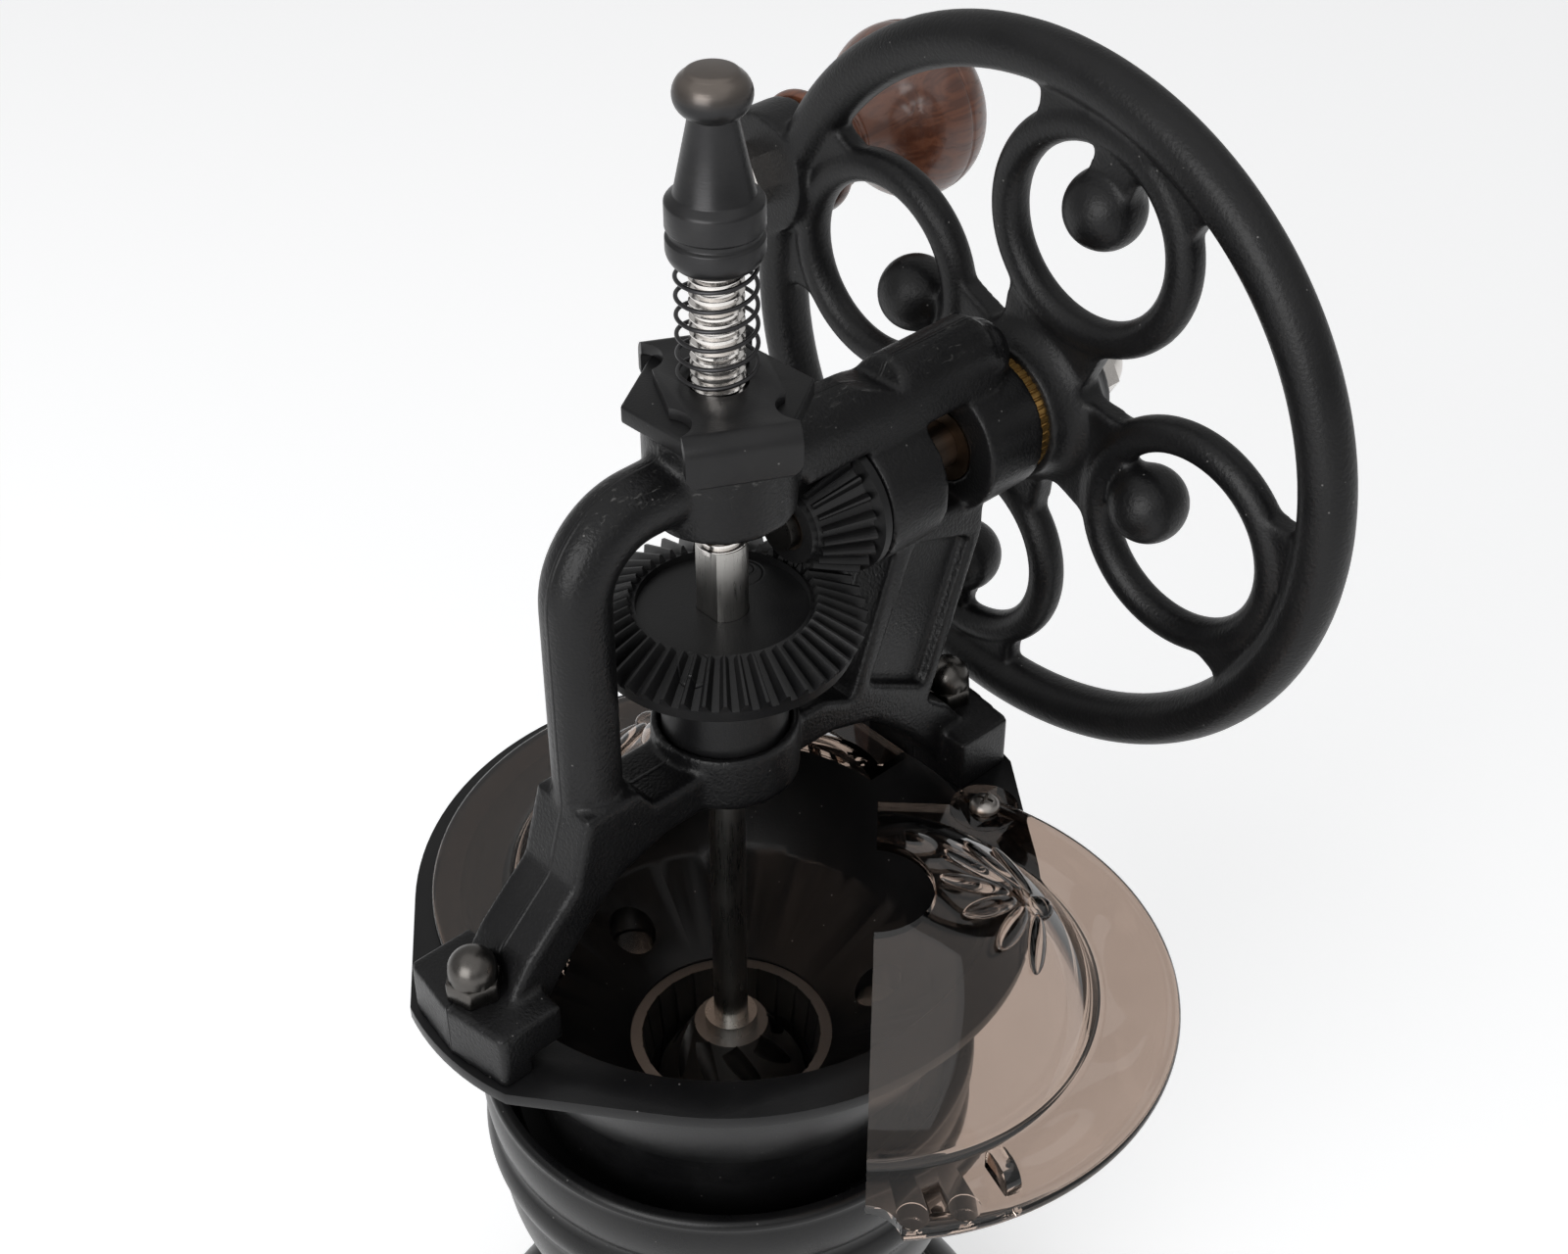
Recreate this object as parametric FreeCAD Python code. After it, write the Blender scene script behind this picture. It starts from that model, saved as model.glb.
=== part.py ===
import FreeCAD, Part
import math
import os

# Hand crank coffee grinder, one STEP file for each separate piece.
# Millimetres. The table is z = 0, the spindle stands on the Z axis, the crank shaft runs along +X
# to the wheel and the drawer opens towards -Y. Heights named with up() start at the hopper flange.

# Driving dimensions
FLANGE_Z = 160.0
FLANGE_R = 52.4
FLANGE_T = 2.2
MOUTH_R = FLANGE_R - 7.4
BOWL_FOOT = -46.0
CRANK_UP = 66.0
CRANK_Z = FLANGE_Z + CRANK_UP
WHEEL_X = 68.85
RIM_R = 60.2
RIM_TUBE = 4.5
LOOP_AT = 36.3
LOOP_R = 17.8
LOOP_TUBE = 3.1
LOOP_COUNT = 4
BALL_R = 6.75
WHEEL_TURN = 17.4
HANDLE_AT = 65.2
MODULE = 1.0
GEAR_TEETH = 44
PINION_TEETH = 22
GEAR_R = MODULE * GEAR_TEETH / 2
PINION_R = MODULE * PINION_TEETH / 2
SPINDLE_R = 4.0
SPINDLE_LOW_R = 3.0
SHAFT_R = 4.0
KEY_FLAT = 3.2
FOOT_BOLT_X = FLANGE_R - 0.2
LID_R = FLANGE_R - 2.9
LID_T = 2.0
LID_EDGE = 0.8
LID_OPEN = 44.0
PIVOT_X = FLANGE_R - 10.1
PIVOT_Y = 19.2
CLIP_TURN = -118.0
NUT_FLATS = 25.0
BAY_HALF = 26.0
BAY_BACK = 32.0
BAY_LOW = 7.5
BAY_TOP = 24.0
PLATE_LOW = 3.0
PLATE_TOP = 5.0
PLINTH_TOP = 28.0

# Clearances
RUN_FIT = 0.06
KEY_FIT = 0.08
LOOSE = 0.4
FLAT_GAP = 0.2
CLIP_GAP = 0.1
DRAWER_GAP = 0.5
BACKLASH = 0.19

V = FreeCAD.Vector
AXIS_X = V(1, 0, 0)
AXIS_Y = V(0, 1, 0)
AXIS_Z = V(0, 0, 1)
ORIGIN = V(0, 0, 0)

os.makedirs("parts", exist_ok=True)


def save(node, *solids):
    """Write one node; several solids become a group of separate pieces."""
    shape = solids[0] if len(solids) == 1 else Part.makeCompound(list(solids))
    shape.exportStep("parts/" + node + ".step")


def up(height):
    """Height above the table of a level measured from the hopper flange."""
    return FLANGE_Z + height


def post(radius, low, high, x=0.0, y=0.0):
    """Upright cylinder."""
    return Part.makeCylinder(radius, high - low, V(x, y, low))


def bar_x(radius, start, end, y=0.0, z=CRANK_Z):
    """Cylinder along X."""
    return Part.makeCylinder(radius, end - start, V(start, y, z), AXIS_X)


def bar_y(radius, start, end, x, z):
    """Cylinder along Y."""
    return Part.makeCylinder(radius, end - start, V(x, start, z), AXIS_Y)


def block(x0, x1, y0, y1, z0, z1):
    """Box between two corners."""
    return Part.makeBox(x1 - x0, y1 - y0, z1 - z0, V(x0, y0, z0))


def face_of(path, place):
    """Closed face from points; a four-number entry is an arc through (a, b) to (c, d)."""
    edges = []
    last = place(*path[0])
    for entry in list(path[1:]) + [path[0]]:
        end = place(*entry[-2:])
        if len(entry) == 4:
            edges.append(Part.Arc(last, place(*entry[:2]), end).toShape())
        else:
            edges.append(Part.makeLine(last, end))
        last = end
    return Part.Face(Part.Wire(edges))


def turned(path, lift=0.0):
    """Solid of revolution about Z from (radius, height) points."""
    face = face_of(path, lambda r, z: V(r, 0, z + lift))
    return face.revolve(ORIGIN, AXIS_Z, 360)


def lie_along_x(solid, y=0.0, z=CRANK_Z):
    """Lay a piece made about Z along +X and carry it to its axis."""
    laid = solid.copy()
    laid.rotate(ORIGIN, AXIS_Y, 90)
    laid.translate(V(0, y, z))
    return laid


def slab(path, half):
    """Plate from (x, height) points, centred on y = 0."""
    face = face_of(path, lambda x, z: V(x, -half, up(z)))
    return face.extrude(V(0, 2 * half, 0))


def hexagon(flats, low, high, x=0.0, y=0.0, turn=0.0):
    """Upright hexagonal prism; turn is the direction of one flat."""
    corner = flats / math.sqrt(3)
    angles = [math.radians(turn + 30 + 60 * k) for k in range(7)]
    wire = Part.makePolygon([V(x + corner * math.cos(a), y + corner * math.sin(a), low) for a in angles])
    return Part.Face(wire).extrude(V(0, 0, high - low))


def mirrored(solid):
    """Copy on the other side of the XZ plane."""
    return solid.mirror(ORIGIN, AXIS_Y)


def join(first, *others):
    """Fuse pieces into one solid."""
    return first.multiFuse(list(others)).removeSplitter()


# Stand: pad, plate, plinth with the drawer bay, and the ringed column

PAD_R = 50.0
PLATE_SCREWS_AT = [(40.0, 14.0), (-40.0, 14.0), (-40.0, -14.0), (40.0, -14.0)]
PLATE_SCREW_R = 1.6
PLATE_SCREW_HEAD_R = 3.0
PLATE_SCREW_LOW = 1.3
PLATE_SCREW_TIP = 15.0
PLATE_R = PAD_R + 2
BAY_REACH = 70.0
CHUTE_R = 13.0
NECK_R = 22.0
SEAT_Z = FLANGE_Z + BOWL_FOOT
COLLAR_RING = 44.4

PLINTH_SHAPE = [
    (0, PLATE_TOP), (55.5, PLATE_TOP), (57, 6.5), (57, 12), (54.6, 20.5, 47.5, 26),
    (46.5, 26), (46.5, PLINTH_TOP), (0, PLINTH_TOP)]
COLUMN_SHAPE = [
    (CHUTE_R, PLINTH_TOP), (44, PLINTH_TOP), (45, PLINTH_TOP + 1, 44, PLINTH_TOP + 2),
    (42.5, PLINTH_TOP + 2), (33, PLINTH_TOP + 9.5, 28.5, PLINTH_TOP + 26),
    (30.4, SEAT_Z - 44, 38, SEAT_Z - 32), (41.6, SEAT_Z - 23.5, 42.6, SEAT_Z - 13),
    (COLLAR_RING, SEAT_Z - 11), (COLLAR_RING, SEAT_Z - 7), (43.4, SEAT_Z - 6), (43.4, SEAT_Z - 5),
    (COLLAR_RING, SEAT_Z - 4), (COLLAR_RING, SEAT_Z), (43.6, SEAT_Z + 1), (43.6, SEAT_Z + 2),
    (COLLAR_RING, SEAT_Z + 3), (COLLAR_RING, SEAT_Z + 8), (44, SEAT_Z + 9.6, 43.2, SEAT_Z + 10),
    (41.9, SEAT_Z + 10), (40.2, SEAT_Z + 3), (39, SEAT_Z), (NECK_R + LOOSE, SEAT_Z),
    (NECK_R + LOOSE, SEAT_Z - 16), (CHUTE_R, SEAT_Z - 36)]


def make_stand():
    """Rubber pad, plate, plinth and column."""
    pad = turned([(0, 0), (PAD_R - 1, 0), (PAD_R, 1), (PAD_R, PLATE_LOW), (0, PLATE_LOW)])
    plate = post(PLATE_R, PLATE_LOW, PLATE_TOP)
    plinth = turned(PLINTH_SHAPE)
    bay = block(-BAY_HALF, BAY_HALF, -BAY_REACH, BAY_BACK, BAY_LOW, BAY_TOP)
    plinth = plinth.cut(bay).cut(post(CHUTE_R, BAY_TOP, PLINTH_TOP))
    screws = []
    for x, y in PLATE_SCREWS_AT:
        head = post(PLATE_SCREW_HEAD_R, PLATE_SCREW_LOW, PLATE_LOW, x, y)
        screws.append(join(head, post(PLATE_SCREW_R, PLATE_SCREW_LOW, PLATE_SCREW_TIP, x, y)))
        pad = pad.cut(post(PLATE_SCREW_HEAD_R + LOOSE, 0, PLATE_LOW, x, y))
        hole = post(PLATE_SCREW_R, PLATE_LOW, PLATE_SCREW_TIP, x, y)
        plate = plate.cut(hole)
        plinth = plinth.cut(hole)
    save("rubber_pad", pad)
    save("base_plate", plate)
    save("plate_screws", *screws)
    save("base_plinth", plinth)

    column = turned(COLUMN_SHAPE)
    for x, y in hopper_screw_places():
        column = column.cut(post(HOPPER_SCREW_R, up(HOPPER_SCREW_TIP), up(BOWL_FOOT), x, y))
    save("base_column", column)


# Grounds drawer

DRAWER_WALL = 2.5
DRAWER_FLOOR = 2.0
DRAWER_LIFT = 0.3
TRAY_DROP = 1.5
PANEL_BACK = -37.0
KNOB_Z = 15.5
KNOB_SEAT = -55.4
KNOB_SEAT_R = 6.5
DRAWER_SCREW_R = 2.0
DRAWER_SCREW_HEAD_R = 3.6
DRAWER_SCREW_HEAD = 2.0
DRAWER_SCREW_BITE = 8.0
DRAWER_KNOB_SHAPE = [
    (0, 0), (5.5, 0), (5.5, 1.5), (3.4, 3), (3.4, 5), (6.4, 6.6), (7.2, 9, 6.4, 11.6), (4.4, 13.4), (0, 14)]


def make_drawer():
    """Tray, front cut from the plinth's own outline, knob and its screw."""
    half = BAY_HALF - DRAWER_GAP
    low = BAY_LOW + DRAWER_LIFT
    high = BAY_TOP - DRAWER_GAP
    back = BAY_BACK - 2 * DRAWER_GAP
    inner_front = PANEL_BACK + DRAWER_WALL
    front_room = block(-half, half, -BAY_REACH, PANEL_BACK, low, high)
    front = turned(PLINTH_SHAPE).common(front_room)
    front = front.cut(bar_y(KNOB_SEAT_R, -BAY_REACH, KNOB_SEAT, 0, KNOB_Z))
    shank = bar_y(DRAWER_SCREW_R, KNOB_SEAT - DRAWER_SCREW_BITE, inner_front, 0, KNOB_Z)
    save("drawer_front", front.cut(shank))

    tray = block(-half, half, PANEL_BACK, back, low, high - TRAY_DROP)
    inside_half = half - DRAWER_WALL
    inside = block(-inside_half, inside_half, inner_front, back - DRAWER_WALL, low + DRAWER_FLOOR, high)
    save("drawer_box", tray.cut(inside).cut(shank))

    knob = turned(DRAWER_KNOB_SHAPE)
    knob.rotate(ORIGIN, AXIS_X, 90)
    knob.translate(V(0, KNOB_SEAT, KNOB_Z))
    save("drawer_knob", knob.cut(shank))
    head = bar_y(DRAWER_SCREW_HEAD_R, inner_front, inner_front + DRAWER_SCREW_HEAD, 0, KNOB_Z)
    save("drawer_screw", join(shank, head))


# Hopper and mill

HOPPER_SCREW_R = 2.0
HOPPER_SCREW_HEAD_R = 3.8
HOPPER_SCREW_HEAD = 2.4
HOPPER_SCREW_AT = 27.0
HOPPER_SCREW_SEAT = BOWL_FOOT + 7
HOPPER_SCREW_TIP = BOWL_FOOT - 13
EAR_ROOT = FLANGE_R - 4.9
BURR_R = 18.0
BURR_FIT = 0.05
BURR_TOP = BOWL_FOOT + 8
BURR_LOW = BOWL_FOOT - 10
LEDGE_R = 16.8
NECK_LOW = BURR_LOW - 3
BURR_NUT_TOP = BURR_LOW - 1.5
BURR_NUT_LOW = BURR_NUT_TOP - 5
CONE_TOP = BURR_TOP + 3
BURR_NUT_FLATS = 10.0
EAR_HALF = 11.6
EAR_OUT = FLANGE_R + 3.6
EAR_TIP = FLANGE_R + 5.4
EAR_LIP = 0.7
HOPPER_SHAPE = [
    (MOUTH_R, 0), (FLANGE_R, 0), (FLANGE_R, -FLANGE_T), (MOUTH_R + 1.8, -FLANGE_T),
    (MOUTH_R - 0.8, -16, 38.7, -27), (35.5, -37), (35, BOWL_FOOT), (NECK_R, BOWL_FOOT), (NECK_R, NECK_LOW),
    (LEDGE_R, NECK_LOW), (LEDGE_R, BURR_LOW), (BURR_R, BURR_LOW), (BURR_R, BURR_TOP + 0.5), (35.2, -28),
    (MOUTH_R - 4.2, -16, MOUTH_R - 1.4, -FLANGE_T)]
OUTER_BURR_SHAPE = [
    (15.9, BURR_TOP), (BURR_R - BURR_FIT, BURR_TOP), (BURR_R - BURR_FIT, BURR_LOW), (16.2, BURR_LOW),
    (14.8, BURR_LOW + 9)]
INNER_BURR_SHAPE = [
    (SPINDLE_LOW_R, CONE_TOP), (6.5, CONE_TOP), (8, BURR_TOP), (13, BURR_LOW + 8.5), (14.4, BURR_LOW - 0.5),
    (13.5, BURR_NUT_TOP), (SPINDLE_LOW_R, BURR_NUT_TOP)]
GROOVES = 24
GROOVE_OUT = 16.0
GROOVE_HALF = 0.35
FLUTES = 8
FLUTE_AT = V(15.4, 4.5, FLANGE_Z + BURR_NUT_TOP - 0.1)
FLUTE_TIP_R = 0.8
FLUTE_END_R = 1.9
FLUTE_LENGTH = 26.0
FLUTE_SIDE_LEAN = 22.0
FLUTE_IN_LEAN = -24.0


def hopper_screw_places():
    """Places of the three screws in the foot of the bowl."""
    angles = [math.radians(90 + 120 * k) for k in range(3)]
    return [(HOPPER_SCREW_AT * math.cos(a), HOPPER_SCREW_AT * math.sin(a)) for a in angles]


def flange_ear(side):
    """Round ear of the flange below one foot, its sides running out tangent to the flange."""
    out, half = EAR_OUT + EAR_LIP, EAR_HALF + EAR_LIP
    turn = math.atan2(half, out) + math.acos(FLANGE_R / math.hypot(out, half))
    root_x, root_y = FLANGE_R * math.cos(turn), FLANGE_R * math.sin(turn)
    outline = [
        (EAR_ROOT, -half), (root_x, -root_y), (out, -half), (EAR_TIP + EAR_LIP, 0, out, half),
        (root_x, root_y), (EAR_ROOT, half)]
    return face_of(outline, lambda x, y: V(side * x, y, up(-FLANGE_T))).extrude(V(0, 0, FLANGE_T))


def make_hopper():
    """Bowl with flange and ears, its screws, and the two burrs."""
    bowl = turned(HOPPER_SHAPE, FLANGE_Z)
    for side in (-1, 1):
        bowl = join(bowl, flange_ear(side))
        bowl = bowl.cut(post(BOLT_R, up(-FLANGE_T), up(0), side * FOOT_BOLT_X))
        bowl = bowl.cut(post(LID_SCREW_R, up(LID_SCREW_TIP), up(0), PIVOT_X, side * PIVOT_Y))
    screws = []
    for x, y in hopper_screw_places():
        bowl = bowl.cut(post(HOPPER_SCREW_HEAD_R + LOOSE, up(HOPPER_SCREW_SEAT), up(0), x, y))
        bowl = bowl.cut(post(HOPPER_SCREW_R, up(BOWL_FOOT), up(0), x, y))
        head_top = HOPPER_SCREW_SEAT + HOPPER_SCREW_HEAD
        head = post(HOPPER_SCREW_HEAD_R, up(HOPPER_SCREW_SEAT), up(head_top), x, y)
        screws.append(join(head, post(HOPPER_SCREW_R, up(HOPPER_SCREW_TIP), up(head_top), x, y)))
    save("hopper", bowl)
    save("hopper_screws", *screws)

    ring = turned(OUTER_BURR_SHAPE, FLANGE_Z)
    for k in range(GROOVES):
        groove = block(0, GROOVE_OUT, -GROOVE_HALF, GROOVE_HALF, up(BURR_LOW), up(BURR_TOP))
        groove.rotate(ORIGIN, AXIS_Z, 360 / GROOVES * k)
        ring = ring.cut(groove)
    save("outer_burr", ring)

    cone = turned(INNER_BURR_SHAPE, FLANGE_Z)
    for k in range(FLUTES):
        flute = Part.makeCone(FLUTE_TIP_R, FLUTE_END_R, FLUTE_LENGTH)
        flute.rotate(ORIGIN, AXIS_X, FLUTE_SIDE_LEAN)
        flute.rotate(ORIGIN, AXIS_Y, FLUTE_IN_LEAN)
        flute.translate(FLUTE_AT)
        flute.rotate(ORIGIN, AXIS_Z, 360 / FLUTES * k)
        cone = cone.cut(flute)
    save("inner_burr", cone)
    nut = hexagon(BURR_NUT_FLATS, up(BURR_NUT_LOW), up(BURR_NUT_TOP))
    save("burr_nut", nut.cut(post(SPINDLE_LOW_R, up(BURR_NUT_LOW), up(BURR_NUT_TOP))))


# Cast frame

BOSS_R = 11.5
BOSS_LOW = CRANK_UP + 10.6
BOSS_TOP = CRANK_UP + 26.8
CUP_R = 12.0
CUP_LOW = 25.5
CUP_FLOOR = 29.5
CUP_TOP = 35.8
HUB_R = 10.2
LEG_X = -28.0
LEG_R = 5.4
LEG_BEND = 12.0
LEG_LOW = 32.0
ARM_R = 6.4
ARM_UP = CRANK_UP + 16.4
LEG_TOP = ARM_UP + 1.6 - LEG_BEND
ARM_FALL = 0.06
ARM_BREAK = 35.0
ARM_NOTCH = 1.5
ARM_END = 53.5
ARM_END_UP = ARM_UP - 2.6
BUSH_R = 6.0
LOW_BUSH_R = 5.0
CRANK_BUSH_R = 6.5
LOBE_R = 12.0
PINION_ROOM_R = 12.6
LOBES = [(25.2, 37.4), (47.2, 59.4)]
FOOT_TOP = 10.2
FOOT_ROOT = FLANGE_R - 7.9
TUCK_OUT = LID_R + 1.0
TUCK_HIGH = 3.2
ARCH_END = FLANGE_R - 2.4
ARCH_TOE = FLANGE_R - 7.8
ARCH_HEEL = FLANGE_R - 6.4
WEB_HALF = 6.5
PANEL_DEEP = 2.2
BOLT_R = 2.5
BOLT_FLATS = 8.0
BOLT_HEAD = 3.5
BOLT_TURN = 30.0
CAP_TURN = 15.0
BOLT_TIP = FOOT_TOP + 6
CAP_R = 3.9
CAP_HEX = 3.4
CAP_RISE = 4.6
NUT_ROOM_R = 5.2
NUT_ROOM = 12.0
THRUST_T = 1.0
ARCH = [
    (-ARCH_END, 2), (-ARCH_TOE, 3.4), (-38, 12, -27, 22.5), (-18, CUP_LOW), (18, CUP_LOW), (27, 22.5),
    (38, 12, ARCH_TOE, 3.4), (ARCH_END, 2), (ARCH_END, FOOT_TOP), (ARCH_HEEL, 15.5), (41, 19.5),
    (52, CRANK_UP - 16), (52, CRANK_UP - 9), (33, CRANK_UP - 6), (22.5, 30), (16, 33), (-20, 33),
    (-23, 37), (-33, 37), (-36.5, 25), (-ARCH_HEEL, 16), (-ARCH_END, FOOT_TOP)]
PANEL = [(26.5, 31), (39.5, 23.5), (49, CRANK_UP - 16), (36, CRANK_UP - 11.5)]
ARM_SKY = ARM_UP + ARM_R + 1
ARM_WEDGE = [
    (ARM_BREAK - 4.8, ARM_SKY), (ARM_BREAK, ARM_UP), (ARM_BREAK + ARM_NOTCH, ARM_UP - 0.4),
    (ARM_BREAK + ARM_NOTCH, ARM_SKY)]


def foot(side):
    """Foot of the casting on one side, with two facets outside."""
    outline = [
        (FOOT_ROOT, -EAR_HALF), (EAR_OUT, -EAR_HALF), (EAR_TIP, 0), (EAR_OUT, EAR_HALF),
        (FOOT_ROOT, EAR_HALF)]
    return face_of(outline, lambda x, y: V(side * x, y, up(0))).extrude(V(0, 0, FOOT_TOP))


def make_frame():
    """The casting, with its bolts, acorn nuts and bushes."""
    body = join(
        slab(ARCH, WEB_HALF),
        post(BOSS_R, up(BOSS_LOW), up(BOSS_TOP)),
        post(CUP_R, up(CUP_LOW), up(CUP_TOP)),
        post(LEG_R, up(LEG_LOW), up(LEG_TOP), LEG_X),
        leg_bend(),
        bar_x(LEG_R, LEG_X + LEG_BEND, 0, 0, up(LEG_TOP + LEG_BEND)),
        top_arm(),
        *[bar_x(LOBE_R, start, end) for start, end in LOBES],
        *[foot(side) for side in (-1, 1)])
    body = body.cut(slab(ARM_WEDGE, ARM_R))
    body = body.cut(block(-TUCK_OUT, 1 - FOOT_ROOT, -EAR_HALF, EAR_HALF, up(0), up(TUCK_HIGH)))
    for y in (-WEB_HALF, WEB_HALF - PANEL_DEEP):
        panel = face_of(PANEL, lambda x, z: V(x, y, up(z)))
        body = body.cut(panel.extrude(V(0, PANEL_DEEP, 0)))
    body = body.cut(post(BUSH_R, CRANK_Z, up(BOSS_TOP)))
    body = body.cut(post(HUB_R + LOOSE, up(CUP_FLOOR), up(CUP_TOP)))
    body = body.cut(post(LOW_BUSH_R, up(CUP_LOW), up(CUP_FLOOR)))
    body = body.cut(bar_x(CRANK_BUSH_R, LOBES[0][0], LOBES[1][1]))
    body = body.cut(bar_x(PINION_ROOM_R, BOSS_R, LOBES[0][0]))
    for side in (-1, 1):
        body = body.cut(post(BOLT_R, up(0), up(FOOT_TOP), side * FOOT_BOLT_X))
        body = body.cut(post(NUT_ROOM_R, up(FOOT_TOP), up(FOOT_TOP + NUT_ROOM), side * FOOT_BOLT_X))
    save("frame", body)

    bolts = []
    caps = []
    for side in (-1, 1):
        x = side * FOOT_BOLT_X
        head = hexagon(BOLT_FLATS, up(-FLANGE_T - BOLT_HEAD), up(-FLANGE_T), x, 0, BOLT_TURN)
        shank = post(BOLT_R, up(-FLANGE_T), up(BOLT_TIP), x)
        bolts.append(join(head, shank))
        waist = post(CAP_R, up(FOOT_TOP), up(FOOT_TOP + CAP_RISE), x)
        ball = Part.makeSphere(CAP_R, V(x, 0, up(FOOT_TOP + CAP_RISE)))
        nut = hexagon(BOLT_FLATS, up(FOOT_TOP), up(FOOT_TOP + CAP_HEX), x, 0, CAP_TURN)
        caps.append(join(nut, waist, ball).cut(shank))
    save("frame_bolts", *bolts)
    save("acorn_nuts", *caps)

    save("upper_bush", post(BUSH_R, up(BOSS_LOW), up(BOSS_TOP)).cut(
        post(SPINDLE_R + RUN_FIT, up(BOSS_LOW), up(BOSS_TOP))))
    save("lower_bush", post(LOW_BUSH_R, up(CUP_LOW), up(CUP_FLOOR)).cut(
        post(SPINDLE_LOW_R + RUN_FIT, up(CUP_LOW), up(CUP_FLOOR))))
    save("thrust_washer", post(HUB_R - LOOSE, up(CUP_FLOOR), up(CUP_FLOOR + THRUST_T)).cut(
        post(SPINDLE_LOW_R + LOOSE, up(CUP_FLOOR), up(CUP_FLOOR + THRUST_T))))
    save("bearing_bushes", *[
        bar_x(CRANK_BUSH_R, start, end).cut(bar_x(SHAFT_R + RUN_FIT, start, end)) for start, end in LOBES])


def leg_bend():
    """Quarter bend between the left leg and the arch."""
    circle = Part.Wire(Part.makeCircle(LEG_R, V(LEG_X, 0, up(LEG_TOP)), AXIS_Z))
    return Part.Face(circle).revolve(V(LEG_X + LEG_BEND, 0, up(LEG_TOP)), AXIS_Y, 90)


def top_arm():
    """Two round lengths with a notch between them, and a domed end over the outer bearing."""
    first = Part.makeCylinder(ARM_R, ARM_BREAK, V(0, 0, up(ARM_UP)), V(1, 0, -ARM_FALL))
    second = bar_x(ARM_R, ARM_BREAK + ARM_NOTCH, ARM_END, 0, up(ARM_END_UP))
    cheek = block(BOSS_R, ARM_END, -ARM_R, ARM_R, up(BOSS_LOW), up(ARM_END_UP))
    end = Part.makeSphere(ARM_R, V(ARM_END, 0, up(ARM_END_UP)))
    return join(first, second, cheek, end)


# Bevel gears

ADDENDUM = 0.9 * MODULE
DEDENDUM = 1.15 * MODULE
FACE_RATIO = 0.655
BLANK_RATIO = 0.63
FLANK_STEPS = 4
TOOTH_ROOT = 0.5
GEAR_DISC = -8.8
GEAR_DISC_R = 13.4
GEAR_BACK = [(20.6, -14.6), (HUB_R, -15.6)]
PINION_BACK = -24.6
PINION_BACK_R = 11.9
PINION_LAND = 1.4
PINION_NOSE = -13.0
PINION_NOSE_R = 6.2
PRESSURE = math.radians(20)


def involute(angle):
    """Involute function."""
    return math.tan(angle) - angle


def tooth_outline(pitch_r, cone):
    """Tooth section on the back cone as (sideways, outwards) points, root first."""
    radius = pitch_r / math.cos(cone)
    base = radius * math.cos(PRESSURE)
    half = (math.pi * MODULE / 4 - BACKLASH) / radius
    flank = []
    for step in range(FLANK_STEPS + 1):
        out = -DEDENDUM + step * (ADDENDUM + DEDENDUM) / FLANK_STEPS
        at = max(radius + out, base)
        spread = half + involute(PRESSURE) - involute(math.acos(base / at))
        flank.append(((radius + out) * math.sin(spread), (radius + out) * math.cos(spread) - radius))
    foot = (flank[0][0], -DEDENDUM - TOOTH_ROOT)
    right = [foot] + flank
    return right + [(-s, o) for s, o in reversed(right)]


def bevel_tooth(pitch_r, depth):
    """One tooth at azimuth 0; the pitch cone hangs below the apex at the origin."""
    cone = math.atan2(pitch_r, depth)
    section = tooth_outline(pitch_r, cone)
    wires = []
    for scale in (1.0, FACE_RATIO):
        points = [V(pitch_r + o * math.cos(cone), s, -depth + o * math.sin(cone)) * scale for s, o in section]
        wires.append(Part.makePolygon(points + points[:1]))
    return Part.makeLoft(wires, True, True)


def bevel_root(pitch_r, depth, scale):
    """Root point (radius, height) at one end of the face."""
    cone = math.atan2(pitch_r, depth)
    return ((pitch_r - DEDENDUM * math.cos(cone)) * scale, (-depth - DEDENDUM * math.sin(cone)) * scale)


def bevel_gear(pitch_r, depth, teeth, blank_tail, phase):
    """Blank with all its teeth, apex at the origin."""
    heel = bevel_root(pitch_r, depth, 1.0)
    toe = bevel_root(pitch_r, depth, BLANK_RATIO)
    blank = turned([toe, heel] + blank_tail)
    tooth = bevel_tooth(pitch_r, depth)
    tooth.rotate(ORIGIN, AXIS_Z, phase)
    ring = []
    for k in range(teeth):
        ring.append(tooth.copy())
        ring[-1].rotate(ORIGIN, AXIS_Z, 360 / teeth * k)
    return blank.multiFuse(ring)


def make_gears():
    """Gear on the spindle and pinion on the crank shaft."""
    hub_low = CUP_FLOOR + THRUST_T + FLAT_GAP - CRANK_UP
    gear = bevel_gear(GEAR_R, PINION_R, GEAR_TEETH, GEAR_BACK + [
        (HUB_R, hub_low), (0, hub_low), (0, GEAR_DISC), (GEAR_DISC_R, GEAR_DISC)], 0)
    gear.translate(V(0, 0, CRANK_Z))
    save("drive_gear", gear.cut(key_post(SPINDLE_R + KEY_FIT, KEY_FLAT + KEY_FIT, up(CUP_LOW), CRANK_Z)))

    toe_height = bevel_root(PINION_R, GEAR_R, BLANK_RATIO)[1]
    pinion = bevel_gear(PINION_R, GEAR_R, PINION_TEETH, [
        (PINION_BACK_R, PINION_BACK + PINION_LAND), (PINION_BACK_R, PINION_BACK), (0, PINION_BACK),
        (0, PINION_NOSE), (PINION_NOSE_R, PINION_NOSE), (PINION_NOSE_R, toe_height)], 180 / PINION_TEETH)
    pinion.rotate(ORIGIN, AXIS_Y, -90)
    pinion.translate(V(0, 0, CRANK_Z))
    save("pinion", pinion.cut(bar_x(SHAFT_R, -PINION_NOSE, -PINION_BACK)))


def key_post(radius, flat, low, high):
    """Upright cylinder with one flat, on the side away from the wheel."""
    return post(radius, low, high).cut(block(-radius - 1, -flat, -radius - 1, radius + 1, low, high))


# Spindle, adjusting nut, clip, spring and finial

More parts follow.
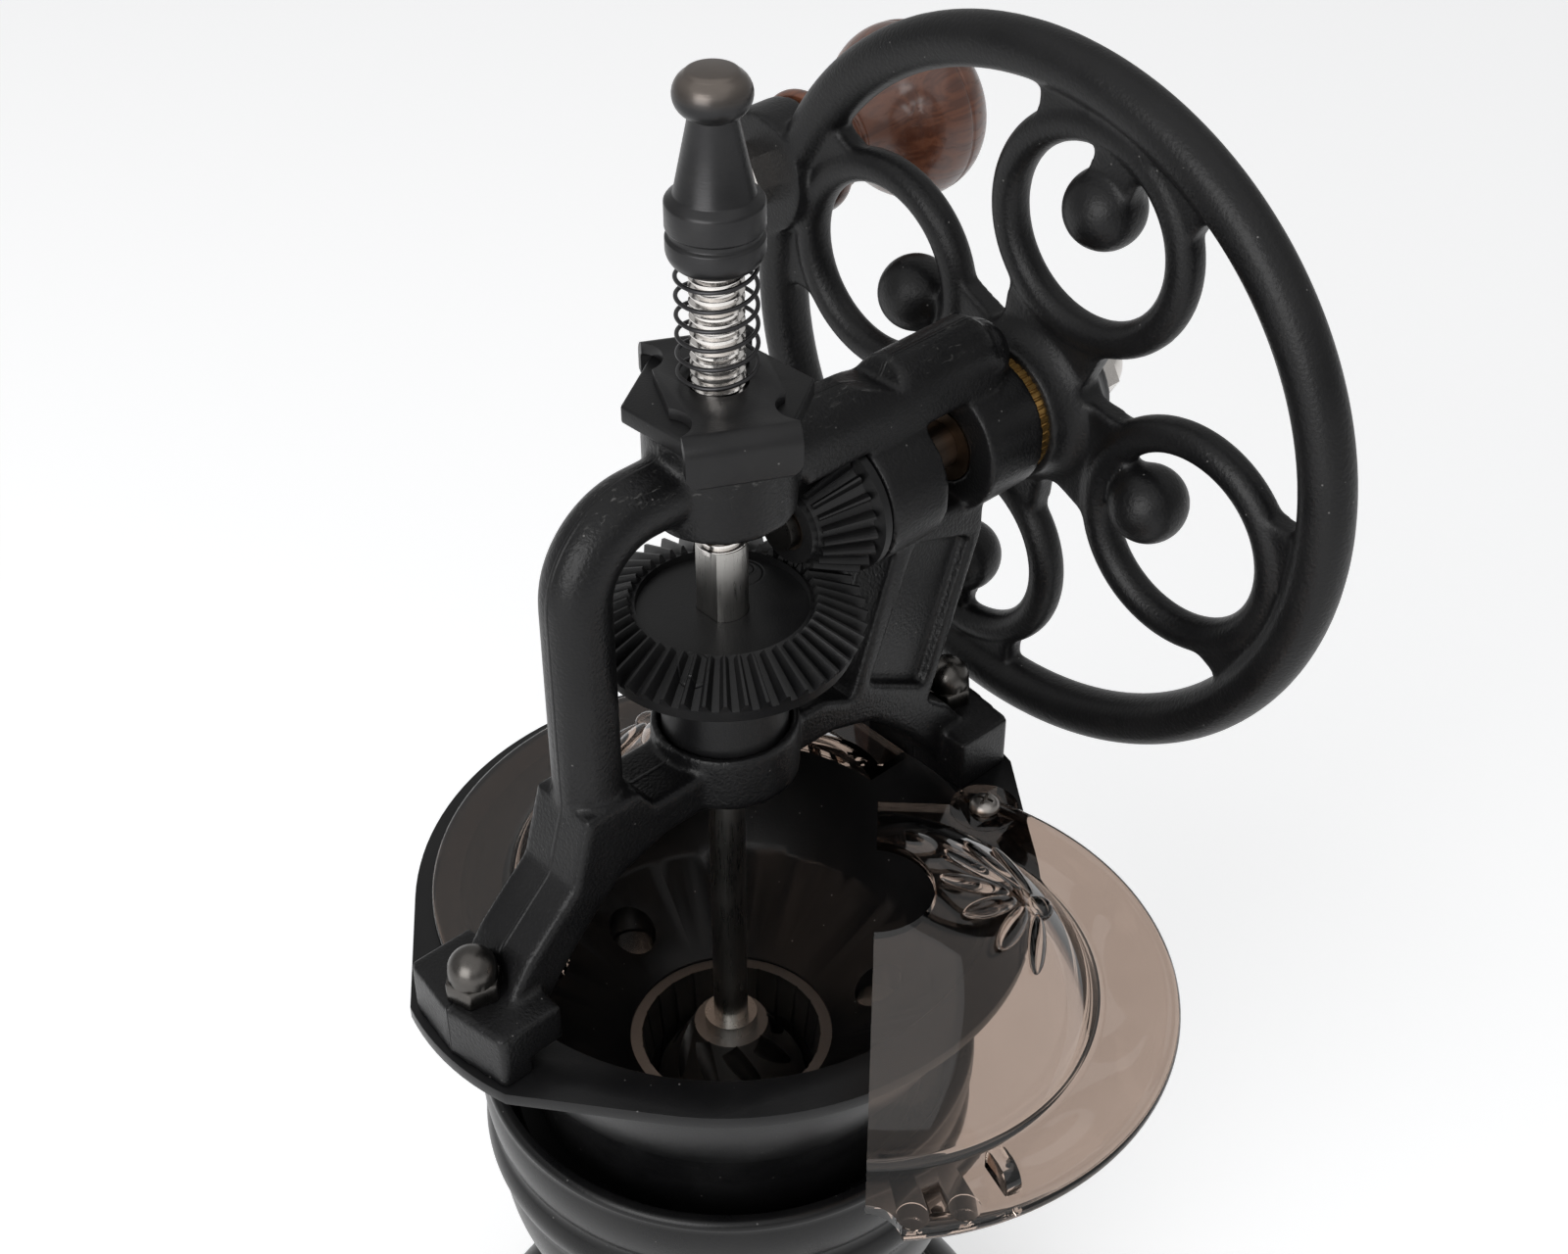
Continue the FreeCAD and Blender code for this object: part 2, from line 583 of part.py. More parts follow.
NUT_T = 3.0
CLIP_T = 1.8
SPRING_LENGTH = 19.1
CLIP_LOW = BOSS_TOP + FLAT_GAP + NUT_T + CLIP_GAP
CLIP_TOP = CLIP_LOW + CLIP_T
KNOB_LOW = CLIP_TOP + SPRING_LENGTH
ROD_TOP = KNOB_LOW + 9.5
SPRING_R = 5.75
SPRING_WIRE = 0.33
SPRING_TURNS = 6
CLIP_BEND = 3.0
TAB_OUT = NUT_FLATS / 2 + CLIP_BEND
TAB_HALF = 8.5
TAB_LOW = BOSS_TOP - 2.8
TAB_CORNER = 2.6
CLIP_NOTCH_R = 4.2
CLIP_NOTCH_X = 9.2
CLIP_NOTCH_Y = TAB_HALF + 1.8
SPINDLE_FOOT = BURR_NUT_LOW - 5.5
SPINDLE_STEP = CUP_FLOOR + 4.25
KEY_TOP = CRANK_UP + 4
COLLAR_R = 4.6
COLLAR_LOW = CONE_TOP
COLLAR_TOP = CONE_TOP + 2.5
ADJUST_KNOB_SHAPE = [
    (0, 0), (6, 0), (7.05, 2.4), (7.05, 4.4), (6.6, 4.9), (6.6, 5.5), (7.05, 6), (7.05, 9.4), (6.5, 10),
    (5.4, 10.6), (3.2, 19.6), (3.2, 20.8), (5.15, 25, 3.6, 29), (2.4, 29.8), (0, 29.8)]


def make_spindle():
    """Everything that turns about the upright axis, except the gear."""
    lower = post(SPINDLE_LOW_R, up(SPINDLE_FOOT), up(SPINDLE_STEP))
    collar = post(COLLAR_R, up(COLLAR_LOW), up(COLLAR_TOP))
    keyed = key_post(SPINDLE_R, KEY_FLAT, up(SPINDLE_STEP), up(KEY_TOP))
    rod = post(SPINDLE_R, up(KEY_TOP), up(ROD_TOP))
    save("spindle", join(lower, collar, keyed, rod))

    nut = hexagon(NUT_FLATS, up(BOSS_TOP + FLAT_GAP), up(CLIP_LOW - CLIP_GAP), 0, 0, CLIP_TURN)
    save("adjust_nut", nut.cut(post(SPINDLE_R + KEY_FIT, up(BOSS_TOP), up(CLIP_LOW))))

    clip = half_clip()
    other = clip.copy()
    other.rotate(ORIGIN, AXIS_Z, 180)
    clip = join(clip, other).cut(post(SPINDLE_R + LOOSE, up(CLIP_LOW), up(CLIP_TOP)))
    clip.rotate(ORIGIN, AXIS_Z, CLIP_TURN)
    save("lock_clip", clip)

    save("clip_spring", join(*[half_coil(k) for k in range(2 * SPRING_TURNS)]))

    knob = turned(ADJUST_KNOB_SHAPE, up(KNOB_LOW))
    save("adjust_knob", knob.cut(post(SPINDLE_R, up(KNOB_LOW), up(ROD_TOP))))


def half_clip():
    """Half of the sheet clip: hollowed sides and a flap that bends down over the nut."""
    bend = TAB_OUT - CLIP_BEND
    level = CLIP_TOP - CLIP_BEND
    inner = CLIP_BEND - CLIP_T
    slant = math.sqrt(0.5)
    half = slab([
        (0, CLIP_TOP), (bend, CLIP_TOP),
        (bend + CLIP_BEND * slant, level + CLIP_BEND * slant, TAB_OUT, level),
        (TAB_OUT, TAB_LOW), (TAB_OUT - CLIP_T, TAB_LOW), (TAB_OUT - CLIP_T, level),
        (bend + inner * slant, level + inner * slant, bend, CLIP_LOW), (0, CLIP_LOW)], TAB_HALF)
    for side in (-1, 1):
        half = half.cut(post(CLIP_NOTCH_R, up(CLIP_LOW), up(CLIP_TOP), CLIP_NOTCH_X, side * CLIP_NOTCH_Y))
        end = side * TAB_HALF
        corner_y = end - side * TAB_CORNER
        middle = TAB_CORNER * (1 - slant)
        corner = face_of([
            (corner_y, TAB_LOW), (end - side * middle, TAB_LOW + middle, end, TAB_LOW + TAB_CORNER),
            (end, TAB_LOW)], lambda y, z: V(bend, y, up(z)))
        half = half.cut(corner.extrude(V(CLIP_BEND, 0, 0)))
    return half


def half_coil(number):
    """Half a turn of the spring, a half ring that leans so as to meet the next one."""
    climb = (SPRING_LENGTH - 2 * SPRING_WIRE) / (2 * SPRING_TURNS)
    side = 1 if number % 2 == 0 else -1
    low = up(CLIP_TOP + SPRING_WIRE) + climb * number
    wire = Part.Wire(Part.makeCircle(SPRING_WIRE, V(side * SPRING_R, 0, low), AXIS_Y))
    return Part.Face(wire).revolve(V(0, 0, low + climb / 2), V(side * climb / 2, 0, SPRING_R), 180)


# Crank shaft, wheel and handle

HUB_NEAR = 61.6
HUB_FAR = 76.0
LUG_NEAR = 64.2
LUG_FAR = 73.5
LUG_R = 11.2
WHEEL_HUB_R = 12.0
HUB_DISC_R = 14.5
HUB_DISC_HALF = 4.0
BALL_IN = 8.2
BALL_OUT = 5.0
STALK_HALF = 4.5
WEB_T = 4.4
SHAFT_NEAR = 13.2
SHAFT_FAR = 83.0
PINION_SCREW_R = 2.0
PINION_SCREW_HEAD_R = 3.4
PINION_SCREW_HEAD = 1.8
PINION_SCREW_NEAR = 11.2
PINION_SCREW_TIP = 22.0
BRASS_R = 11.0
BRASS_T = 1.8
KNURLS = 48
KNURL_R = 0.35
KNURL_OUT = 0.1
WASHER_T = 1.2
WHEEL_WASHER_R = 8.0
WHEEL_NUT_FLATS = 13.0
WHEEL_NUT_HEX = 6.0
WHEEL_NUT_DOME_R = 6.2
AXLE_R = 3.0
GRIP_NEAR = LUG_FAR + WASHER_T + 0.1
GRIP_FAR = 113.8
AXLE_NEAR = LUG_NEAR - 4.8
AXLE_FAR = GRIP_FAR - 0.2
AXLE_HEAD_R = 5.4
AXLE_HEAD = 2.4
HANDLE_NUT_FLATS = 10.0
HANDLE_NUT_T = 4.4
HANDLE_WASHER_R = 7.5
GRIP_FOOT_R = 11.4
GRIP_BULB_R = 16.4
RECESS_R = 6.0
RECESS_DEEP = 3.0
GRIP_SHAPE = [
    (0, GRIP_NEAR), (GRIP_FOOT_R - 0.6, GRIP_NEAR),
    (GRIP_FOOT_R, GRIP_NEAR + 1.4, GRIP_FOOT_R - 0.6, GRIP_NEAR + 2.8),
    (8.6, GRIP_NEAR + 3.8), (8, GRIP_NEAR + 5.2), (8.9, GRIP_NEAR + 6.4, 8, GRIP_NEAR + 7.6),
    (7.7, GRIP_NEAR + 9.2), (8.9, GRIP_FAR - 25.2, 12.4, GRIP_FAR - 20.6),
    (GRIP_BULB_R, GRIP_FAR - 12.6, 11, GRIP_FAR - 3), (8.8, GRIP_FAR - 1, RECESS_R, GRIP_FAR),
    (RECESS_R, GRIP_FAR - RECESS_DEEP), (0, GRIP_FAR - RECESS_DEEP)]
HANDLE_Y = HANDLE_AT * math.cos(math.radians(WHEEL_TURN))
HANDLE_Z = CRANK_Z + HANDLE_AT * math.sin(math.radians(WHEEL_TURN))


def make_crank():
    """Shaft with its washers and nuts, wheel and handle."""
    shaft = bar_x(SHAFT_R, SHAFT_NEAR, SHAFT_FAR)
    screw = bar_x(PINION_SCREW_R, PINION_SCREW_NEAR, PINION_SCREW_TIP)
    screw_head = bar_x(PINION_SCREW_HEAD_R, PINION_SCREW_NEAR, PINION_SCREW_NEAR + PINION_SCREW_HEAD)
    save("crank_shaft", shaft.cut(screw))
    save("pinion_screw", join(screw_head, screw))
    ring = bar_x(BRASS_R, HUB_NEAR - BRASS_T, HUB_NEAR).cut(shaft)
    for k in range(KNURLS):
        knurl = bar_x(KNURL_R, HUB_NEAR - BRASS_T, HUB_NEAR, BRASS_R + KNURL_OUT, 0)
        ring = ring.cut(turned_to(knurl, math.radians(360 / KNURLS * k)))
    save("brass_washer", ring)
    nut_near = HUB_FAR + WASHER_T
    save("wheel_washer", bar_x(WHEEL_WASHER_R, HUB_FAR, nut_near).cut(shaft))
    dome = Part.makeSphere(WHEEL_NUT_DOME_R, V(nut_near + WHEEL_NUT_HEX, 0, CRANK_Z))
    nut = join(lie_along_x(hexagon(WHEEL_NUT_FLATS, nut_near, nut_near + WHEEL_NUT_HEX)),
               dome.common(bar_x(WHEEL_NUT_DOME_R, nut_near, 2 * nut_near)))
    save("wheel_nut", nut.cut(shaft))
    save("wheel", make_wheel())

    axle = handle_bar(AXLE_R, AXLE_NEAR, AXLE_FAR)
    save("handle_bolt", join(axle, handle_bar(AXLE_HEAD_R, AXLE_FAR - AXLE_HEAD, AXLE_FAR)))
    handle_nut = hexagon(HANDLE_NUT_FLATS, LUG_NEAR - HANDLE_NUT_T, LUG_NEAR)
    save("handle_nut", lie_along_x(handle_nut, HANDLE_Y, HANDLE_Z).cut(axle))
    save("handle_washer", handle_bar(HANDLE_WASHER_R, LUG_FAR, LUG_FAR + WASHER_T).cut(axle))
    grip = lie_along_x(turned(GRIP_SHAPE), HANDLE_Y, HANDLE_Z)
    save("handle_grip", grip.cut(handle_bar(AXLE_R + RUN_FIT, AXLE_NEAR, AXLE_FAR)))


def handle_bar(radius, start, end):
    """Cylinder on the axis of the grip."""
    return bar_x(radius, start, end, HANDLE_Y, HANDLE_Z)


def ring_x(radius, tube, y):
    """Torus about an axis along X, in the wheel's plane."""
    return Part.makeTorus(radius, tube, V(WHEEL_X, y, 0), AXIS_X)


def make_wheel():
    """Rim, loops with their balls and webs, hub and lug, built in the photographed position."""
    loops = []
    balls = []
    stalks = []
    rim_webs = []
    hub_webs = []
    for k in range(LOOP_COUNT):
        angle = math.radians(WHEEL_TURN + 360 / LOOP_COUNT * k)
        inward = k % 2 == 0
        ball_at = LOOP_AT - BALL_IN if inward else LOOP_AT + BALL_OUT
        stalk_from = LOOP_AT - LOOP_R if inward else LOOP_AT + LOOP_R
        low, high = sorted((ball_at, stalk_from))
        loops.append(turned_to(ring_x(LOOP_R, LOOP_TUBE, LOOP_AT), angle))
        balls.append(turned_to(Part.makeSphere(BALL_R, V(WHEEL_X, ball_at, 0)), angle))
        stalk = block(WHEEL_X - WEB_T / 2, WHEEL_X + WEB_T / 2, low, high, -STALK_HALF, STALK_HALF)
        stalks.append(turned_to(stalk, angle))
        rim_webs.append(turned_to(rim_web(), angle))
        hub_webs.append(turned_to(hub_web(), angle))
    hubs = [
        bar_x(HUB_DISC_R, WHEEL_X - HUB_DISC_HALF, WHEEL_X + HUB_DISC_HALF),
        bar_x(WHEEL_HUB_R, HUB_NEAR, HUB_FAR),
        handle_bar(LUG_R, LUG_NEAR, LUG_FAR)]
    wheel = turned_to(ring_x(RIM_R, RIM_TUBE, 0), 0)
    for group in (loops, hubs, hub_webs, stalks, balls, rim_webs):
        wheel = wheel.multiFuse(group)
    wheel = wheel.cut(bar_x(SHAFT_R, HUB_NEAR, HUB_FAR))
    return wheel.cut(handle_bar(AXLE_R, LUG_NEAR, LUG_FAR))


def turned_to(solid, angle):
    """Turn a piece made along +Y about the X axis and lift it to the crank axis."""
    moved = solid.copy()
    moved.rotate(ORIGIN, AXIS_X, math.degrees(angle))
    moved.translate(V(0, 0, CRANK_Z))
    return moved


def flat_piece(path):
    """Web plate from (outward, sideways) points in the wheel's plane."""
    face = face_of(path, lambda out, side: V(WHEEL_X - WEB_T / 2, out, side))
    return face.extrude(V(WEB_T, 0, 0))


def rim_web():
    """Web between a loop and the rim."""
    return flat_piece([(46, 16), (54.1, 0, 46, -16), (57, -18.5), (60, 0, 57, 18.5)])


def hub_web():
    """Web between a loop and the hub."""
    return flat_piece([(8, -9), (22, -11), (18.5, 0, 22, 11), (8, 9)])


# Lids

LID_LOW = 0.3
LID_SCREW_R = 1.5
PIVOT_EAR_R = 6.0
NOTCH_R = 10.0
NOTCH_LOW = 10.0
LID_TOP = 24.0
CORNER_IN = FLANGE_R - 9.6
CORNER_DEEP = 15.0
BITE_R = 5.6
GRIP_TAB_AT = (LID_R - 8.5, LID_R - 2)
GRIP_TAB_HALF = 1.0
GRIP_TAB_TOP = 6.3
GRIP_TAB_TURN = 208.5
LID_SCREW_HEAD_R = 2.65
LID_SCREW_HEAD = 1.8
LID_SCREW_TIP = -5.0
LID_HEAD_LOW = 2 * LID_LOW + LID_T
LID_SHAPE = [
    (LID_R, LID_LOW), (LID_R, LID_LOW + LID_T), (36.4, LID_LOW + LID_T), (26, 15.3, 8, LID_TOP),
    (8, LID_TOP - 1.8), (25, 13.6, 34.6, LID_LOW)]


def make_lids():
    """Front leaf opened as in the photograph, rear leaf closed, and the two pivot screws."""
    leaf = turned(LID_SHAPE, FLANGE_Z)
    leaf = leaf.cut(block(-FLANGE_R, FLANGE_R, -LID_EDGE, FLANGE_R, up(0), up(LID_TOP)))
    leaf = leaf.cut(post(NOTCH_R, up(NOTCH_LOW), up(LID_TOP)))
    leaf = leaf.cut(block(CORNER_IN, FLANGE_R, -CORNER_DEEP, 0, up(0), up(LID_TOP)))
    leaf = leaf.cut(post(BITE_R, up(0), up(LID_TOP), -LID_R, -LID_EDGE))
    leaf = join(leaf, post(PIVOT_EAR_R, up(LID_LOW), up(LID_LOW + LID_T), PIVOT_X, -PIVOT_Y))
    leaf = leaf.cut(post(LID_SCREW_R + RUN_FIT, up(0), up(LID_HEAD_LOW), PIVOT_X, -PIVOT_Y))
    save("rear_lid", mirrored(leaf))
    tab = block(*GRIP_TAB_AT, -GRIP_TAB_HALF, GRIP_TAB_HALF, up(LID_LOW + LID_T / 2), up(GRIP_TAB_TOP))
    tab.rotate(ORIGIN, AXIS_Z, GRIP_TAB_TURN)
    leaf = join(leaf, tab)
    leaf.rotate(V(PIVOT_X, -PIVOT_Y, 0), AXIS_Z, LID_OPEN)
    save("front_lid", leaf)
    screws = []
    for y in (-PIVOT_Y, PIVOT_Y):
        head = post(LID_SCREW_HEAD_R, up(LID_HEAD_LOW), up(LID_HEAD_LOW + LID_SCREW_HEAD), PIVOT_X, y)
        screws.append(join(head, post(LID_SCREW_R, up(LID_SCREW_TIP), up(LID_HEAD_LOW), PIVOT_X, y)))
    save("lid_screws", *screws)


make_stand()
make_drawer()
make_hopper()
make_frame()
make_gears()
make_spindle()
make_crank()
make_lids()
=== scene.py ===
"""Looks of a hand crank coffee grinder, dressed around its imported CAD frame.

Pieces are modelled in millimetres in the CAD frame and brought to metres when they are finished.
"""

from __future__ import annotations

import logging
import math
from contextlib import contextmanager
from dataclasses import dataclass
from enum import Enum
from typing import Callable, Iterator, Sequence

import bpy
from mathutils import Matrix, Vector


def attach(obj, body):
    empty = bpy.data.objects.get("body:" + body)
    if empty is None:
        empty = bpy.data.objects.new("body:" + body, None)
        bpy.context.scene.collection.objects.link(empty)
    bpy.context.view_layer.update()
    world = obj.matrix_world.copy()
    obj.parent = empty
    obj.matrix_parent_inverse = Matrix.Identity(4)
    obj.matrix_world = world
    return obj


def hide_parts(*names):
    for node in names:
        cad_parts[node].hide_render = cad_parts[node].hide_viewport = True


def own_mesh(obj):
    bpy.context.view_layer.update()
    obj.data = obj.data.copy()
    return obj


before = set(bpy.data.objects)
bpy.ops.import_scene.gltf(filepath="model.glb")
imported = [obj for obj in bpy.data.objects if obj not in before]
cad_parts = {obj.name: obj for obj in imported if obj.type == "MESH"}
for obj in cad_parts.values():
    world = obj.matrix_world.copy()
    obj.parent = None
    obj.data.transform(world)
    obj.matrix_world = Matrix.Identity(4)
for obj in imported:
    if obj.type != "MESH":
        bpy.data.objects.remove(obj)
LOG = logging.getLogger("grinder")
MM = 0.001
FULL_TURN = 2 * math.pi
FLANGE_Z = 160.0
CRANK_Z = 226.0

Path = Sequence[tuple]
Colour = tuple[float, float, float]


class Axis(Enum):
    """Direction in which a piece lies."""

    X = Vector((1, 0, 0))
    Y = Vector((0, 1, 0))
    Z = Vector((0, 0, 1))


def arc_through(a: tuple, b: tuple, c: tuple, steps: int) -> list[tuple]:
    """Points of the arc from a through b to c, without a itself.

    Args:
        a, b, c: Points (first, second) in one plane.
        steps: Number of points to return.

    Returns:
        The points, ending with c.
    """
    ax, ay, bx, by, cx, cy = *a, *b, *c
    d = 2 * (ax * (by - cy) + bx * (cy - ay) + cx * (ay - by))
    sa, sb, sc = ax * ax + ay * ay, bx * bx + by * by, cx * cx + cy * cy
    ux = (sa * (by - cy) + sb * (cy - ay) + sc * (ay - by)) / d
    uy = (sa * (cx - bx) + sb * (ax - cx) + sc * (bx - ax)) / d
    radius = math.hypot(ax - ux, ay - uy)
    start = math.atan2(ay - uy, ax - ux)
    turn = (math.atan2(cy - uy, cx - ux) - start) % FULL_TURN
    middle = (math.atan2(by - uy, bx - ux) - start) % FULL_TURN
    if middle > turn:
        turn -= FULL_TURN
    angles = [start + turn * k / steps for k in range(1, steps + 1)]
    return [(ux + radius * math.cos(t), uy + radius * math.sin(t)) for t in angles]


def spread(path: Path, steps: int = 12) -> list[tuple]:
    """Outline points of a path in which a four-number entry is an arc through (a, b) to (c, d).

    Args:
        path: Entries of two or four numbers.
        steps: Points on each arc.

    Returns:
        Plain (first, second) points.
    """
    points = [path[0]]
    for entry in path[1:]:
        if len(entry) == 4:
            points += arc_through(points[-1], entry[:2], entry[2:], steps)
        else:
            points.append(entry)
    return points


def up(height: float) -> float:
    """Height above the table of a level measured from the hopper flange, in millimetres."""
    return FLANGE_Z + height


def deselect() -> None:
    """Leave nothing selected, in object mode."""
    if bpy.context.object and bpy.context.object.mode != "OBJECT":
        bpy.ops.object.mode_set(mode="OBJECT")
    bpy.ops.object.select_all(action="DESELECT")


class Piece:
    """One mesh on the bench, shaped with Blender's own operators."""

    def __init__(self, obj: bpy.types.Object, name: str) -> None:
        """Take over an object and name it."""
        self.obj = obj
        obj.name = name
        obj.data.name = name

    @classmethod
    def traced(cls, name: str, points: Sequence[tuple], place: Callable[..., Vector]) -> Piece:
        """Extrude one vertex from point to point.

        Args:
            name: Name of the piece.
            points: Outline in two numbers.
            place: Where an outline point lies in space.

        Returns:
            The piece, a chain of edges.
        """
        deselect()
        bpy.ops.mesh.primitive_plane_add(size=1)
        piece = cls(bpy.context.object, name)
        here = Vector((0, 0, 0))
        with piece.editing():
            bpy.ops.mesh.merge(type="CENTER")
            for number, point in enumerate(points):
                step = place(*point) - here
                here = here + step
                if number:
                    bpy.ops.mesh.extrude_region_move(TRANSFORM_OT_translate={"value": step})
                else:
                    bpy.ops.transform.translate(value=step)
        return piece

    @classmethod
    def lathe(cls, name: str, path: Path, steps: int = 128, closed: bool = False) -> Piece:
        """Turn an outline of (radius, height) about Z.

        Args:
            name: Name of the piece.
            path: Outline, with arcs as spread reads them.
            steps: Divisions of the full turn.
            closed: True where the outline is a ring that meets its own start.

        Returns:
            The turned piece.
        """
        points = spread(path)
        if closed:
            points.append(points[0])
        piece = cls.traced(name, points, lambda r, z: Vector((r, 0, z)))
        with piece.editing():
            bpy.ops.mesh.spin(steps=steps, angle=FULL_TURN, center=(0, 0, 0), axis=(0, 0, 1))
            bpy.ops.mesh.select_all(action="SELECT")
            bpy.ops.mesh.remove_doubles(threshold=0.0005)
            bpy.ops.mesh.normals_make_consistent(inside=False)
        return piece

    @classmethod
    def plate(cls, name: str, path: Path, place: Callable[..., Vector], depth: Vector) -> Piece:
        """Fill an outline and give it thickness.

        Args:
            name: Name of the piece.
            path: Outline, with arcs as spread reads them.
            place: Where an outline point lies in space.
            depth: Way and distance of the thickness.

        Returns:
            The closed plate.
        """
        piece = cls.traced(name, spread(path), place)
        with piece.editing():
            bpy.ops.mesh.edge_face_add()
            bpy.ops.mesh.extrude_region_move(TRANSFORM_OT_translate={"value": depth})
            bpy.ops.mesh.select_all(action="SELECT")
            bpy.ops.mesh.normals_make_consistent(inside=False)
        return piece

    @classmethod
    def rod(cls, name: str, radius: float, low: Vector, axis: Axis, length: float,
            sides: int = 64) -> Piece:
        """Round bar, or a prism with few sides.

        Args:
            name: Name of the piece.
            radius: Radius of its corners.
            low: Centre of its first end.
            axis: Way it runs.
            length: Its length.
            sides: Number of sides.

        Returns:
            The closed bar.
        """
        deselect()
        turn = Vector((0, 0, 1)).rotation_difference(axis.value).to_euler()
        middle = low + axis.value * length / 2
        bpy.ops.mesh.primitive_cylinder_add(
            vertices=sides, radius=radius, depth=length, location=middle, rotation=turn)
        return cls(bpy.context.object, name).settled()

    @classmethod
    def block(cls, name: str, low: tuple, high: tuple) -> Piece:
        """Box between two corners."""
        deselect()
        middle = [(a + b) / 2 for a, b in zip(low, high)]
        bpy.ops.mesh.primitive_cube_add(size=1, location=middle, scale=[b - a for a, b in zip(low, high)])
        return cls(bpy.context.object, name).settled()

    @classmethod
    def ball(cls, name: str, radius: float, middle: Vector, scale: tuple = (1, 1, 1)) -> Piece:
        """Round or oval ball."""
        deselect()
        bpy.ops.mesh.primitive_uv_sphere_add(
            segments=48, ring_count=24, radius=radius, location=middle, scale=scale)
        return cls(bpy.context.object, name).settled()

    @classmethod
    def ring(cls, name: str, radius: float, tube: float, middle: Vector, divisions: int = 160) -> Piece:
        """Torus in a plane square to X."""
        deselect()
        bpy.ops.mesh.primitive_torus_add(
            major_segments=divisions, minor_segments=28, major_radius=radius, minor_radius=tube,
            location=middle, rotation=(0, math.pi / 2, 0))
        return cls(bpy.context.object, name).settled()

    @classmethod
    def from_node(cls, node: str, name: str) -> Piece:
        """Merged copy of a CAD node, in millimetres.

        Args:
            node: Name of the CAD node.
            name: Name of the piece.

        Returns:
            The copy, with flat areas as single faces.
        """
        deselect()
        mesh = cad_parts[node].data.copy()
        mesh.materials.clear()
        obj = bpy.data.objects.new(name, mesh)
        bpy.context.scene.collection.objects.link(obj)
        piece = cls(obj, name)
        mesh.transform(Matrix.Scale(1 / MM, 4))
        with piece.editing():
            bpy.ops.mesh.remove_doubles(threshold=0.0005)
            bpy.ops.mesh.dissolve_limited(angle_limit=math.radians(0.5))
        return piece

    def alone(self) -> None:
        """Make this the only selected and active object."""
        deselect()
        self.obj.select_set(True)
        bpy.context.view_layer.objects.active = self.obj

    @contextmanager
    def editing(self) -> Iterator[None]:
        """Edit mode with everything selected."""
        self.alone()
        bpy.ops.object.mode_set(mode="EDIT")
        bpy.ops.mesh.select_all(action="SELECT")
        yield
        bpy.ops.object.mode_set(mode="OBJECT")

    def settled(self) -> Piece:
        """Bring place, turn and size into the mesh."""
        self.alone()
        bpy.ops.object.transform_apply(location=True, rotation=True, scale=True)
        return self

    def modified(self, kind: str, **settings: object) -> Piece:
        """Add a modifier and apply it.

        Args:
            kind: Type of the modifier.
            settings: Its properties.

        Returns:
            The piece itself.
        """
        self.alone()
        modifier = self.obj.modifiers.new(kind.lower(), kind)
        for key, value in settings.items():
            setattr(modifier, key, value)
        bpy.ops.object.modifier_apply(modifier=modifier.name)
        return self

    def bevelled(self, width: float, segments: int = 3, angle: float = 30) -> Piece:
        """Round the edges that are sharper than an angle in degrees."""
        return self.modified("BEVEL", width=width, segments=segments, limit_method="ANGLE",
                             angle_limit=math.radians(angle), use_clamp_overlap=True)

    def boolean(self, other: Piece, operation: str) -> Piece:
        """Cut, fuse or intersect with another piece, which is used up."""
        self.modified("BOOLEAN", operation=operation, object=other.obj, solver="EXACT")
        bpy.data.objects.remove(other.obj)
        return self

    def cut(self, *others: Piece) -> Piece:
        """Take other pieces away from this one."""
        for other in others:
            self.boolean(other, "DIFFERENCE")
        return self

    def fused(self, *others: Piece) -> Piece:
        """Add other pieces to this one."""
        for other in others:
            self.boolean(other, "UNION")
        return self

    def gathered(self, *others: Piece) -> Piece:
        """Join other pieces as loose shells of this one."""
        self.alone()
        for other in others:
            other.obj.select_set(True)
        bpy.ops.object.join()
        return self

    def cast(self, voxel: float, passes: int) -> Piece:
        """Melt overlapping shells into one skin with rounded corners.

        Args:
            voxel: Grid of the skin.
            passes: Smoothing passes, more for larger radii.

        Returns:
            The piece itself.
        """
        self.modified("REMESH", mode="VOXEL", voxel_size=voxel, adaptivity=0)
        return self.modified("SMOOTH", factor=0.5, iterations=passes)

    def sliced(self, point: tuple, normal: tuple) -> Piece:
        """Cut the piece at a plane, drop what lies along the normal and close the cut."""
        with self.editing():
            bpy.ops.mesh.bisect(plane_co=point, plane_no=normal, use_fill=True, clear_outer=True)
        return self

    def turned(self, degrees: float, axis: Axis, centre: tuple = (0, 0, 0)) -> Piece:
        """Turn the mesh about an axis through a point."""
        there = Matrix.Translation(centre)
        turn = Matrix.Rotation(math.radians(degrees), 4, axis.value)
        self.obj.data.transform(there @ turn @ there.inverted())
        return self

    def moved(self, x: float, y: float, z: float) -> Piece:
        """Carry the mesh by a distance."""
        self.obj.data.transform(Matrix.Translation((x, y, z)))
        return self

    def mirrored_y(self) -> Piece:
        """Mirror the mesh across the XZ plane and turn its faces outwards again."""
        self.obj.data.transform(Matrix.Scale(-1, 4, (0, 1, 0)))
        with self.editing():
            bpy.ops.mesh.flip_normals()
        return self

    def copied(self, name: str) -> Piece:
        """Copy with its own mesh."""
        obj = self.obj.copy()
        obj.data = self.obj.data.copy()
        bpy.context.scene.collection.objects.link(obj)
        return Piece(obj, name)

    def dressed(self, material: bpy.types.Material, body: str, slot: str, *nodes: str,
                smooth: float = 35) -> None:
        """Bring the piece to metres, paint it and let it ride.

        Args:
            material: Its finish.
            body: The CAD body that carries it.
            slot: Not used; the name of the record's material slot.
            nodes: CAD nodes that it stands for.
            smooth: Edges flatter than this many degrees are shaded smooth.
        """
        self.obj.data.transform(Matrix.Scale(MM, 4))
        self.obj.data.materials.clear()
        self.obj.data.materials.append(material)
        self.alone()
        bpy.ops.object.shade_smooth_by_angle(angle=math.radians(smooth))
        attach(self.obj, body)
        if nodes:
            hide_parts(*nodes)
        LOG.info("%s rides on %s with %d faces", self.obj.name, body, len(self.obj.data.polygons))


